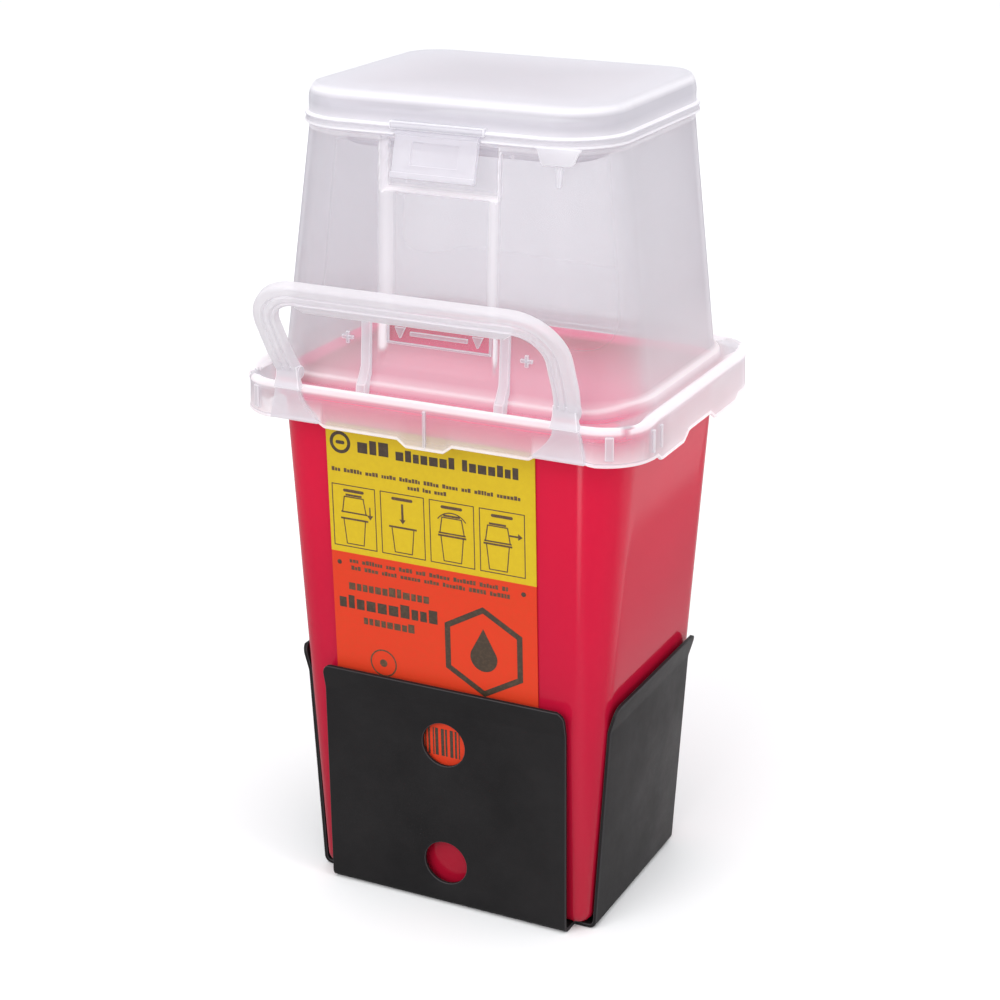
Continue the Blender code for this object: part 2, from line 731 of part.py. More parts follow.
def make_cap():
    frosted = material("cap_polypropylene", (0.90, 0.89, 0.92), 0.35, 0.0, 0.55)
    cap = loft("top_cap", [rounded_ring(*section, z) for section, z in cap_rings()], frosted)
    notch_top = LATCH_PIVOT_Z + LATCH_BARREL + GAP
    bar_low = (-LATCH_BAR_HALF, -CAP_RIM[1] - 0.0010, notch_top)
    bar_high = (LATCH_BAR_HALF, -CAP_RIM[1] + CAP_WALL, notch_top + 0.0030)
    combine(cap, [box("bar", bar_low, bar_high), prong()] + cap_knuckles(), "UNION")
    notch_half = LATCH_HALF_TOP + GAP
    notch_low = (-notch_half, -CAP_RIM[1] - 0.0060, CAP_RIM_Z - 0.0020)
    notch_high = (notch_half, -CAP_RIM[1] + 0.0045, notch_top)
    bores = [box("notch", notch_low, notch_high)]
    for side in (-1, 1):
        low = side * HINGE_X - KNUCKLE_HALF_LENGTH - 0.001
        high = side * HINGE_X + KNUCKLE_HALF_LENGTH + 0.001
        ends = ((low, HINGE_Y, HINGE_Z), (high, HINGE_Y, HINGE_Z))
        bores.append(cylinder("bore", KNUCKLE_BORE, *ends, 20))
    combine(cap, bores, "DIFFERENCE")
    shade(cap)
    move_origin(cap, (0, HINGE_Y, HINGE_Z))
    return cap


def make_latch():
    """A flared tab under the cap's front bar, with a thumb recess outside and a hook inside."""
    frosted = material("latch_polypropylene", (0.92, 0.91, 0.94), 0.3, 0.0, 0.6)
    half_t = LATCH_THICKNESS / 2
    low_y = LATCH_PIVOT_Y - LATCH_LENGTH * math.sin(LATCH_LEAN)
    low_z = LATCH_PIVOT_Z - LATCH_LENGTH * math.cos(LATCH_LEAN)
    rings = []
    for y, z, half in (
        (low_y, low_z, LATCH_HALF_LOW),
        (LATCH_PIVOT_Y, LATCH_PIVOT_Z, LATCH_HALF_TOP),
    ):
        corners = ((-half, -half_t), (half, -half_t), (half, half_t), (-half, half_t))
        rings.append([(u, y + v, z) for u, v in corners])
    latch = loft("cap_latch", rings, frosted)
    left = (-LATCH_HALF_TOP, LATCH_PIVOT_Y, LATCH_PIVOT_Z)
    right = (LATCH_HALF_TOP, LATCH_PIVOT_Y, LATCH_PIVOT_Z)
    lip_low = (-LATCH_HALF_LOW - 0.0001, low_y - half_t - 0.0008, low_z - 0.0002)
    lip_high = (LATCH_HALF_LOW + 0.0001, low_y, low_z + 0.0014)
    hook_low = (-HOOK_HALF_WIDTH, low_y, low_z + 0.0026)
    hook_high = (HOOK_HALF_WIDTH, low_y + half_t + HOOK_REACH, low_z + 0.0042)
    solids = [
        cylinder("barrel", LATCH_BARREL, left, right, 16),
        box("lip", lip_low, lip_high),
        box("hook", hook_low, hook_high),
    ]
    combine(latch, solids, "UNION")
    middle_y = (LATCH_PIVOT_Y + low_y) / 2
    middle_z = (LATCH_PIVOT_Z + low_z) / 2 + 0.0008
    thumb_low = (-THUMB_HALF_WIDTH, middle_y - 0.0030, middle_z - 0.0036)
    thumb_high = (THUMB_HALF_WIDTH, middle_y - half_t + THUMB_DEPTH, middle_z + 0.0040)
    combine(latch, [box("thumb", thumb_low, thumb_high)], "DIFFERENCE")
    shade(latch)
    move_origin(latch, (0, LATCH_PIVOT_Y, LATCH_PIVOT_Z))
    return latch


# ---------------------------------------------------------------- handle


def handle_path():
    """Centre line of the handle in its own plane: (sideways, along the lean) from the pivot line."""
    half_band = HANDLE_BAND / 2
    radius = HANDLE_CORNER - half_band
    top = HANDLE_HEIGHT - half_band
    side = HANDLE_HALF_WIDTH - half_band
    bend_x, bend_z = side - radius, top - radius
    right = [(HANDLE_ROOT_X, 0.0), (side - 0.0003, bend_z * 0.6)]
    for step in range(7):
        angle = math.radians(90 * step / 6)
        right.append((bend_x + radius * math.cos(angle), bend_z + radius * math.sin(angle)))
    return right + [(-u, v) for u, v in right[::-1]]


def handle_section():
    """Cross-section of the band: (across the band, through its thickness), grooved on both faces."""
    half, deep = HANDLE_BAND / 2, HANDLE_THICKNESS / 2
    edge, groove, flange = 0.0012, 0.0012, 0.0030
    quarter = [
        (half, deep - edge),
        (half - edge, deep),
        (flange, deep),
        (flange - 0.0008, deep - groove),
    ]
    upper = quarter + [(-u, v) for u, v in quarter[::-1]]
    return upper + [(-u, -v) for u, v in upper]


def make_handle():
    frosted = material("handle_polypropylene", (0.90, 0.89, 0.91), 0.35, 0.0, 0.65)
    path = handle_path()
    rings = []
    for i, (u, v) in enumerate(path):
        before = Vector(path[max(i - 1, 0)])
        after = Vector(path[min(i + 1, len(path) - 1)])
        along = (after - before).normalized()
        outward = Vector((along.y, -along.x))
        rings.append(
            [
                (u + outward.x * across, through, v + outward.y * across)
                for across, through in handle_section()
            ]
        )
    handle = loft("carry_handle", rings, frosted)
    base = HANDLE_HEIGHT - HANDLE_BAND
    half, end, drop = GRIP_HALF_WIDTH, GRIP_HALF_WIDTH - 0.0025, GRIP_DROP
    grip = [(half, base - 0.0008), (end, base - drop), (-end, base - drop)]
    grip += [(-half, base - 0.0008), (-half, base + 0.0012), (half, base + 0.0012)]
    grip_deep = HANDLE_THICKNESS / 2 - 0.0005
    solids = [prism("grip", grip, -grip_deep, grip_deep, "y")]
    for side in (-1, 1):
        near = side * HANDLE_ROOT_X - HANDLE_BAND / 2
        far = side * HANDLE_ROOT_X + HANDLE_BAND / 2
        solids.append(cylinder("barrel", HANDLE_BARREL, (near, 0, 0), (far, 0, 0), 20))
    combine(handle, solids, "UNION")
    shade(handle)
    handle.location = (0, HANDLE_PIVOT_Y, HANDLE_PIVOT_Z)
    handle.rotation_euler = (HANDLE_LEAN, 0, 0)
    return handle


def main():
    clear_scene()
    make_bracket()
    make_tub()
    make_label()
    make_lid()
    make_cap()
    make_latch()
    make_handle()


main()
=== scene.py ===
"""Looks of the sharps container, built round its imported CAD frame. Metres, +Z up, front towards -Y."""

import json
import math

import bmesh
import bpy
import numpy as np
from mathutils import Matrix, Vector


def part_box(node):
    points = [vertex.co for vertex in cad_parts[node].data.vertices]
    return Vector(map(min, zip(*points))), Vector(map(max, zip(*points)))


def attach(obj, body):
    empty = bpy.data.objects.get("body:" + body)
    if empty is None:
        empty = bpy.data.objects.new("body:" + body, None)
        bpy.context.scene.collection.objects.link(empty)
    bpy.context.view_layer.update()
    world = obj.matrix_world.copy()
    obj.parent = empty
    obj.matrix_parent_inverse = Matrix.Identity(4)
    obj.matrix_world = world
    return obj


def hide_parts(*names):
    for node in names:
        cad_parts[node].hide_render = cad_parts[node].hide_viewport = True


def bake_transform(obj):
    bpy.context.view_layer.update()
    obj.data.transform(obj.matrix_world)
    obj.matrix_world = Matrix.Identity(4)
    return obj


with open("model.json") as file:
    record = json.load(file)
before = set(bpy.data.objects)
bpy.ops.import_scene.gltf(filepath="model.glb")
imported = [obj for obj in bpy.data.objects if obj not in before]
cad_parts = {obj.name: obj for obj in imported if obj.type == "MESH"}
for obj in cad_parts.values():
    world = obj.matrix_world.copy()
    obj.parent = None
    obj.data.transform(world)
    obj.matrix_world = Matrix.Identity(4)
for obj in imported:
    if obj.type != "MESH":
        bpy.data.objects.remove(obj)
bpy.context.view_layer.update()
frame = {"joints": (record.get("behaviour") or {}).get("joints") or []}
JOINTS = {joint["name"]: joint for joint in frame["joints"]}

LID_LO, LID_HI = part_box("dome_lid")
TUB_LO, TUB_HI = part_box("sharps_tub")
CAP_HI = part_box("top_cap")[1]
LABEL_LO, LABEL_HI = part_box("front_label")
BRACKET_LO, BRACKET_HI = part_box("wall_bracket")
HANDLE_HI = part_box("carry_handle")[1]
CAP_HINGE = Vector(JOINTS["cap_hinge"]["pos_m"])
LATCH_PIVOT = Vector(JOINTS["latch_flex"]["pos_m"])
HANDLE_PIVOT = Vector(JOINTS["handle_swing"]["pos_m"])

# Sections of the mouldings are (half width, reach to the front, reach to the back, corner radius).
TUB_FLOOR_Z, TUB_TOP_Z = TUB_LO.z, TUB_HI.z
TUB_FLOOR = (0.0576, 0.0433, 0.0435, 0.0057)
RIM_REACH = 0.0040
TUB_TOP = (TUB_HI.x - RIM_REACH + 0.0001, 0.0521, 0.0553, 0.0186)
TUB_WALL = 0.0018

SKIRT = (LID_HI.x - 0.0002, 0.0618, 0.0636, 0.0195)
SKIRT_WALL = 0.0016
SKIRT_TAB_Z = LID_LO.z
SKIRT_MID_Z = SKIRT_TAB_Z + 0.0012
SKIRT_LOW_Z = SKIRT_TAB_Z + 0.0026
SKIRT_CORNER_Z = SKIRT_TAB_Z + 0.0035
SKIRT_HIGH_Z = SKIRT_TAB_Z + 0.0044
BEAD_Z = SKIRT_TAB_Z + 0.0195
CHANNEL_Z = BEAD_Z - 0.0018
DOME_FOOT_Z = BEAD_Z + 0.0022
DOME_FOOT = (0.0724, 0.0524, 0.0552, 0.0240)
NECK_TOP_Z = LID_HI.z
DOME_TOP_Z = NECK_TOP_Z - 0.0075
DOME_TOP = (0.0616, 0.0486, 0.0562, 0.0240)
DOME_WALL = 0.0015
NECK_STEP = 0.0026
ENTRY = (0.0500, 0.0370, 0.0440, 0.0160)
ENTRY_DEPTH = 0.0140

# Recess down the dome's front and the deeper latch pocket at its top.
RECESS_HALF, RECESS_LOW, RECESS_DEPTH = 0.0235, 0.2190, 0.0022
RECESS_SLOPE_LOW, RECESS_SLOPE_HIGH = 0.0022, 0.0048
POCKET_HALF, POCKET_LOW, POCKET_DEPTH, POCKET_SLOPE = 0.0232, 0.2812, 0.0042, 0.0012

CAP_RIM = (0.0625, 0.0495, 0.0576, 0.0240)
CAP_RIM_Z = DOME_TOP_Z + 0.0005
CAP_BAND_Z = CAP_RIM_Z + 0.0037
CAP_TOP_Z = CAP_HI.z - 0.0006
CAP_WALL = 0.0015
CAP_STEP = 0.0012

SIDES = (("left", -1), ("right", 1))
# Weight of the edge mark on bevelled rounds; the looks turn it into denser plastic with a painted highlight
# and glow, or a painted highlight on the powder coat.
ROUND_MARK = 0.6
rng = np.random.default_rng(7)


# ---------------- mesh helpers


def turned(cx, cy, radius, start, end, steps):
    """Points along an arc from start to end, in degrees."""
    angles = [math.radians(start + (end - start) * step / steps) for step in range(steps + 1)]
    return [(cx + radius * math.cos(angle), cy + radius * math.sin(angle)) for angle in angles]


def ring(section, z, corner=14, front=1, back=1, side=1):
    """Points round a rounded rectangle, anticlockwise from the +X side's back end."""
    half_x, reach_front, reach_back, radius = section
    right, left = half_x - radius, radius - half_x
    far, near = reach_back - radius, radius - reach_front
    arcs = ((right, far, 0, back), (left, far, 90, side), (left, near, 180, front), (right, near, 270, side))
    points = []
    for index, (cx, cy, start, after) in enumerate(arcs):
        points += turned(cx, cy, radius, start, start + 90, corner)
        next_x, next_y, next_start, _ = arcs[(index + 1) % 4]
        begin, end = points[-1], turned(next_x, next_y, radius, next_start, next_start, 1)[0]
        for step in range(1, after):
            share = step / after
            points.append(tuple(a + (b - a) * share for a, b in zip(begin, end)))
    flat = np.array(points)
    return np.column_stack([flat, np.full(len(flat), z)])


def grown(section, amount):
    half_x, front, back, radius = section
    return (half_x + amount, front + amount, back + amount, max(radius + amount, 0.0005))


def stack(section, *steps):
    """The section grown by each step's amount, with the step's height."""
    return [(grown(section, amount), z) for amount, z in steps]


def between(low, high, low_z, high_z, z):
    share = (z - low_z) / (high_z - low_z)
    return tuple(a + (b - a) * share for a, b in zip(low, high))


def smooth(value):
    value = np.clip(value, 0.0, 1.0)
    return value * value * (3 - 2 * value)


def ramp(value):
    """A straight slope between 0 and 1 with eased ends."""
    value = np.clip(value, 0.0, 1.0)
    return 0.6 * value + 0.4 * smooth(value)


def linked(name, data):
    obj = bpy.data.objects.new(name, data)
    bpy.context.scene.collection.objects.link(obj)
    return obj


def mesh_object(name, points, faces):
    mesh = bpy.data.meshes.new(name)
    mesh.from_pydata([tuple(p) for p in points], [], faces)
    mesh.validate()
    return linked(name, mesh)


def skin(name, rings, closed=False):
    """A surface over rings of equal length; closed joins the last ring to the first."""
    count = len(rings[0])
    points = np.concatenate(rings)
    pairs = [(i, i + 1) for i in range(len(rings) - 1)]
    if closed:
        pairs.append((len(rings) - 1, 0))
    faces = []
    for low, high in pairs:
        a, b = low * count, high * count
        for i in range(count):
            j = (i + 1) % count
            faces.append((a + i, a + j, b + j, b + i))
    if not closed:
        faces.append(tuple(range(count))[::-1])
        last = (len(rings) - 1) * count
        faces.append(tuple(range(last, last + count)))
    obj = mesh_object(name, points, faces)
    outward(obj)
    return obj


def outward(obj):
    bm = bmesh.new()
    bm.from_mesh(obj.data)
    bmesh.ops.recalc_face_normals(bm, faces=bm.faces)
    bm.to_mesh(obj.data)
    bm.free()


def prism(name, outline, low, high, axis):
    """A flat outline extruded along an axis. The outline's pairs are the other two axes in order."""
    return skin(name, [np.insert(np.array(outline), "xyz".index(axis), w, axis=1) for w in (low, high)])


def box(name, low, high):
    outline = [(low[0], low[1]), (high[0], low[1]), (high[0], high[1]), (low[0], high[1])]
    return prism(name, outline, low[2], high[2], "z")


def cylinder(name, radius, start, end, segments=32):
    start, end = Vector(start), Vector(end)
    along = end - start
    bm = bmesh.new()
    place = Matrix.Translation((start + end) / 2) @ along.to_track_quat("Z", "Y").to_matrix().to_4x4()
    bmesh.ops.create_cone(
        bm, cap_ends=True, segments=segments, radius1=radius, radius2=radius, depth=along.length, matrix=place
    )
    mesh = bpy.data.meshes.new(name)
    bm.to_mesh(mesh)
    bm.free()
    return linked(name, mesh)


def apply_modifiers(obj):
    graph = bpy.context.evaluated_depsgraph_get()
    mesh = bpy.data.meshes.new_from_object(obj.evaluated_get(graph))
    obj.modifiers.clear()
    obj.data = mesh
    return mesh


def combine(target, tools, operation):
    for tool in tools:
        modifier = target.modifiers.new(tool.name, "BOOLEAN")
        modifier.operation = operation
        modifier.solver = "EXACT"
        modifier.object = tool
    apply_modifiers(target)
    for tool in tools:
        bpy.data.objects.remove(tool, do_unlink=True)


def bevelled(obj, width, segments=3, angle=35, flat=0.0):
    """Round the object's edges, and mark the rounds as edges; flat is the mark on its flat faces."""
    obj.data.materials.clear()
    for _ in range(2):
        obj.data.materials.append(None)
    modifier = obj.modifiers.new("round", "BEVEL")
    modifier.material = 1
    modifier.width = width
    modifier.segments = segments
    modifier.limit_method = "ANGLE"
    modifier.angle_limit = math.radians(angle)
    modifier.use_clamp_overlap = True
    mesh = apply_modifiers(obj)
    mark = mesh.attributes.new("edge", "FLOAT", "FACE")
    weights = [ROUND_MARK if face.material_index == 1 else flat for face in mesh.polygons]
    mark.data.foreach_set("value", weights)
    mesh.polygons.foreach_set("material_index", [0] * len(mesh.polygons))
    return obj


def mark_edges(obj, weights):
    """Store how strongly each point lies on an edge, where plastic looks denser and whiter and gets a painted
    glow; on the tub it sets only the painted glow.
    """
    obj.data.attributes.new("edge", "FLOAT", "POINT").data.foreach_set("value", np.asarray(weights, float))
    return obj


def dress(obj, look, sharp):
    """Shade the object smooth up to an angle, and give it its look."""
    obj.data.shade_smooth()
    obj.data.set_sharp_from_angle(angle=math.radians(sharp))
    obj.data.materials.clear()
    obj.data.materials.append(look)


def claim(obj, body, node):
    """Let the object ride on a body in place of a CAD node."""
    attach(obj, body)
    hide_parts(node)


def finish_piece(obj, body, node, look, sharp=40):
    dress(obj, look, sharp)
    claim(obj, body, node)


# ---------------- looks

# Glow strengths are painted light: the frosted edges' glow and the tub's glow seen through the lid. The white
# of marked frosted edges is partly a painted highlight.
EDGE_PAINTED_GLOW, TUB_GLOW = 0.28, 1.0
EDGE_WHITE, GRAZING_SHADE = (0.97, 0.96, 0.98), (0.80, 0.81, 0.85)
CLEAR_TINT = (0.968, 0.963, 0.972)
LEAST_DENSE, MOST_DENSE = 0.04, 0.97
RED_DARK, RED_LIGHT = (0.75, 0.0130, 0.066), (0.86, 0.0160, 0.080)
# The darkest red is painted shade towards the tub's bottom; the glow colour is painted light seen through the
# lid.
RED_SHADED_LOW, RED_GLOW, RED_THROUGH = (0.44, 0.0070, 0.030), (1.0, 0.09, 0.34), (0.98, 0.05, 0.20)
BLACK_DARK, BLACK_LIGHT = (0.009, 0.0085, 0.0092), (0.015, 0.014, 0.0148)
# The powder coat's lighter colour on its rounded edges is a painted highlight.
BLACK_EDGE_HIGHLIGHT = (0.060, 0.058, 0.062)
ORANGE, YELLOW, LABEL_SPLIT_Z = (0.70, 0.046, 0.016), (0.66, 0.47, 0.019), 0.1423


class Graph:
    """Short hand for building a material's nodes."""

    def __init__(self, name):
        self.material = bpy.data.materials.new(name)
        self.material.use_nodes = True
        self.tree = self.material.node_tree
        self.tree.nodes.clear()
        self.output = self.tree.nodes.new("ShaderNodeOutputMaterial")
        self.place = self.tree.nodes.new("ShaderNodeTexCoord").outputs["Object"]

    def node(self, kind, **inputs):
        made = self.tree.nodes.new(kind)
        for key, value in inputs.items():
            self.set(made.inputs[key.replace("_", " ")], value)
        return made

    def set(self, socket, value):
        if isinstance(value, bpy.types.NodeSocket):
            self.tree.links.new(value, socket)
        else:
            socket.default_value = (*value, 1.0) if socket.type == "RGBA" else value

    def noise(self, scale, detail=2.0, roughness=0.5, stretch=None):
        place = self.place
        if stretch is not None:
            place = self.node("ShaderNodeMapping", Vector=place, Scale=stretch).outputs["Vector"]
        made = self.node("ShaderNodeTexNoise", Vector=place, Scale=scale, Detail=detail, Roughness=roughness)
        return made.outputs["Fac"]

    def remap(self, value, low, high, from_low=0.0, from_high=1.0):
        ends = {"From Min": from_low, "From Max": from_high, "To Min": low, "To Max": high}
        return self.node("ShaderNodeMapRange", Value=value, **ends).outputs["Result"]

    def rise(self, value, start, end):
        """From 0 at the start to 1 at the end."""
        return self.remap(value, 0.0, 1.0, start, end)

    def joined(self, kind, output, sockets, **settings):
        """A node whose inputs are set by their place in its list."""
        made = self.tree.nodes.new(kind)
        for key, value in settings.items():
            setattr(made, key, value)
        for index, value in sockets.items():
            self.set(made.inputs[index], value)
        return made.outputs[output]

    def mix_color(self, factor, first, second):
        return self.joined("ShaderNodeMix", 2, {0: factor, 6: first, 7: second}, data_type="RGBA")

    def mix_shader(self, factor, first, second):
        return self.joined("ShaderNodeMixShader", 0, {0: factor, 1: first, 2: second})

    def add_shader(self, first, second):
        return self.joined("ShaderNodeAddShader", 0, {0: first, 1: second})

    def math(self, operation, first, second=0.0):
        return self.joined("ShaderNodeMath", 0, {0: first, 1: second}, operation=operation)

    def attribute(self, name):
        made = self.tree.nodes.new("ShaderNodeAttribute")
        made.attribute_name = name
        return made.outputs["Fac"]

    def bump(self, height, strength, distance, normal=None):
        made = self.node("ShaderNodeBump", Height=height, Strength=strength, Distance=distance)
        if normal is not None:
            self.set(made.inputs["Normal"], normal)
        return made.outputs["Normal"]

    def height(self):
        return self.node("ShaderNodeSeparateXYZ", Vector=self.place).outputs["Z"]

    def plastic(self, color, roughness, normal, ior=1.49, specular=0.5, glow=(0.0, 0.0, 0.0), strength=0.0):
        """A smooth moulded or coated surface, glowing in a colour by a strength."""
        return self.node(
            "ShaderNodeBsdfPrincipled", Base_Color=color, Roughness=roughness, Normal=normal, IOR=ior,
            Specular_IOR_Level=specular, Emission_Color=glow, Emission_Strength=strength,
        ).outputs[0]

    def times(self, first, second):
        return self.math("MULTIPLY", first, second)

    def done(self, surface):
        self.set(self.output.inputs["Surface"], surface)
        return self.material


def frosted(name, color, face_on, edge_on, edge_gain=0.5, roughness=0.34):
    """Frosted polypropylene: part see-through face on, denser and whiter at its edges and seen edge on; the
    marked edges also glow, a painted light.

    A mark below zero makes a spot clearer.
    """
    g = Graph(name)
    cloud = g.noise(14.0, 3.0, 0.6)
    grain = g.noise(900.0, 2.0, 0.5)
    flow = g.noise(45.0, 2.0, 0.5, (1.0, 1.0, 0.25))
    mark = g.attribute("edge")
    edge = g.math("MAXIMUM", mark, 0.0)
    shade = tuple(c * 0.95 for c in color)
    grazing = tuple(c * k for c, k in zip(color, GRAZING_SHADE))
    tint = g.mix_color(g.rise(cloud, 0.35, 0.65), shade, color)
    facing = g.node("ShaderNodeLayerWeight", Blend=0.5).outputs["Facing"]
    tint = g.mix_color(g.math("POWER", facing, 5.0), tint, grazing)
    # Whiter tint on marked edges: partly the denser plastic there, partly a painted highlight.
    tint = g.mix_color(edge, tint, EDGE_WHITE)
    normal = g.bump(grain, 0.12, 0.0002)
    normal = g.bump(flow, 0.10, 0.0008, normal)
    gloss = g.remap(cloud, roughness - 0.05, roughness + 0.09, 0.3, 0.7)
    # Painted glow: the marked edges give off light, in place of the light that frosted plastic scatters along
    # them.
    strength = g.times(edge, EDGE_PAINTED_GLOW)
    body = g.plastic(tint, gloss, normal, glow=(1.0, 0.98, 1.0), strength=strength)
    through = g.node("ShaderNodeBsdfTranslucent", Color=tint, Normal=normal).outputs[0]
    clear = g.node("ShaderNodeBsdfTransparent", Color=CLEAR_TINT).outputs[0]
    density = g.remap(g.math("POWER", facing, 1.6), face_on, edge_on)
    density = g.math("ADD", density, g.times(mark, edge_gain))
    density = g.math("MAXIMUM", g.math("MINIMUM", density, MOST_DENSE), LEAST_DENSE)
    return g.done(g.mix_shader(density, clear, g.mix_shader(0.45, body, through)))


def crimson():
    """Glossy crimson polypropylene with faint flow lines down the wall; a little light passes through it,
    less towards the bottom, where the red is darkened as painted shade.

    Seen through the frosted lid it glows a little, in place of the light that the lid scatters onto it.
    """
    g = Graph("crimson_plastic")
    cloud = g.noise(9.0, 2.0, 0.5)
    flow = g.noise(60.0, 3.0, 0.55, (1.0, 1.0, 0.08))
    grain = g.noise(700.0, 2.0, 0.5)
    color = g.mix_color(g.rise(cloud, 0.3, 0.7), RED_DARK, RED_LIGHT)
    # Painted shade: darker red and less light through towards the bottom, where the bracket and the floor
    # shade the tub.
    low = g.remap(g.height(), 1.0, 0.0, 0.02, 0.16)
    color = g.mix_color(low, color, RED_SHADED_LOW)
    normal = g.bump(flow, 0.05, 0.0003)
    normal = g.bump(grain, 0.02, 0.0001, normal)
    path = g.node("ShaderNodeLightPath").outputs
    veiled = g.times(path["Is Camera Ray"], g.math("MINIMUM", path["Transparent Depth"], 1.0))
    strength = g.times(g.attribute("edge"), g.times(veiled, TUB_GLOW))
    body = g.plastic(color, g.remap(flow, 0.06, 0.11, 0.3, 0.7), normal, 1.5, 0.38, RED_GLOW, strength)
    through = g.node("ShaderNodeBsdfTranslucent", Color=RED_THROUGH).outputs[0]
    share = g.times(g.math("SUBTRACT", 1.6, low), 0.26)
    return g.done(g.mix_shader(share, body, through))


def powder_coat():
    """Satin black powder coat: fine orange peel, a little rubbing, and a painted highlight along its edges.
    """
    g = Graph("powder_coat")
    peel = g.noise(1400.0, 3.0, 0.6)
    worn = g.noise(35.0, 5.0, 0.7)
    color = g.mix_color(g.rise(worn, 0.35, 0.75), BLACK_DARK, BLACK_LIGHT)
    # Painted highlight: the rounded edges are lighter, in place of light caught on them.
    color = g.mix_color(g.attribute("edge"), color, BLACK_EDGE_HIGHLIGHT)
    gloss = g.remap(worn, 0.42, 0.56, 0.3, 0.7)
    return g.done(g.plastic(color, gloss, g.bump(peel, 0.35, 0.00012), 1.45, 0.22))


def film(name, low, high, split_z):
    """Printed film: one colour below the split and another above it."""
    g = Graph(name)
    side = g.rise(g.height(), split_z - 0.0001, split_z + 0.0001)
    fibre = g.noise(500.0, 4.0, 0.6)
    color = g.mix_color(side, low, high)
    darker = g.mix_color(0.08, color, (0.3, 0.1, 0.02))
    color = g.mix_color(g.rise(fibre, 0.4, 0.7), darker, color)
    gloss = g.remap(fibre, 0.36, 0.48, 0.3, 0.7)
    return g.done(g.plastic(color, gloss, g.bump(fibre, 0.08, 0.0001), 1.45, 0.25))


def ink(name, color):
    g = Graph(name)
    patch = g.noise(800.0, 3.0, 0.6)
    light = tuple(min(c * 1.8, 1.0) for c in color)
    tint = g.mix_color(g.rise(patch, 0.45, 0.75), color, light)
    body = g.node("ShaderNodeBsdfPrincipled", Base_Color=tint, Roughness=g.remap(patch, 0.4, 0.6))
    return g.done(body.outputs[0])


LOOKS = {
    "dome": frosted("frosted_dome", (0.79, 0.785, 0.825), 0.24, 0.88),
    "cap": frosted("frosted_cap", (0.79, 0.785, 0.82), 0.38, 0.84),
    "latch": frosted("frosted_latch", (0.94, 0.93, 0.97), 0.46, 0.94),
    "handle": frosted("frosted_handle", (0.95, 0.93, 0.955), 0.55, 0.95, 0.35),
    "red": crimson(),
    "black": powder_coat(),
    "label": film("label_film", ORANGE, YELLOW, LABEL_SPLIT_Z),
    "ink_dark": ink("ink_dark", (0.045, 0.028, 0.016)),
    "ink_soft": ink("ink_soft", (0.085, 0.045, 0.022)),
}


# ---------------- bracket

SHEET, SHEET_BEND = 0.0015, 0.0025
BASE_HALF_X, BASE_FRONT = 0.060, 0.0478
BASE_BACK = BRACKET_HI.y
FRONT_HALF_WIDTH, SIDE_HALF_DEPTH = 0.051, 0.0391
PANEL_HEIGHT, PANEL_CORNER = 0.0835, 0.0045
LIP_LENGTH, LIP_ANGLE = 0.0115, math.radians(13)
FRONT_LEAN, SIDE_LEAN = math.radians(1.3), math.radians(3.3)
HOLE_HEIGHTS, ACCESS_RADIUS, SCREW_RADIUS = (0.0187, 0.0700), 0.0090, 0.0027


def sheet_profile(half_inner, lean, lip_angle):
    """Centre line of one folded side, from the base's middle outwards and up to the lip."""
    points = [(0.0, SHEET / 2)]
    turn = math.pi / 2 - lean
    for step in range(13):
        angle = turn * step / 12 - math.pi / 2
        out = half_inner - SHEET_BEND + SHEET_BEND * math.cos(angle)
        points.append((out, SHEET / 2 + SHEET_BEND + SHEET_BEND * math.sin(angle)))
    out, up = points[-1]
    points.append((out + (PANEL_HEIGHT - up) * math.tan(lean), PANEL_HEIGHT))
    pieces = [(0.04, share) for share in (0.2, 0.4, 0.6, 0.8)] + [(0.84, 1.0)]
    for length, share in pieces:
        out, up = points[-1]
        angle, reach = lean + lip_angle * share, LIP_LENGTH * length
        points.append((out + reach * math.sin(angle), up + reach * math.cos(angle)))
    return points


def thickened(path, thickness):
    sides = ([], [])
    for i, point in enumerate(path):
        here = Vector(point)
        first = (here - Vector(path[i - 1])).normalized() if i else None
        second = (Vector(path[i + 1]) - here).normalized() if i < len(path) - 1 else None
        first, second = first or second, second or first
        bisector = (first + second).normalized()
        normal = Vector((-bisector.y, bisector.x))
        reach = thickness / 2 / max(bisector.dot(first), 0.5)
        sides[0].append(tuple(here + normal * reach))
        sides[1].append(tuple(here - normal * reach))
    return sides[0] + sides[1][::-1]


def panel_outline(half_width, top):
    points = [(half_width, -0.01)]
    points += turned(half_width - PANEL_CORNER, top - PANEL_CORNER, PANEL_CORNER, 0, 90, 8)
    return points + [(-u, v) for u, v in points[::-1]]


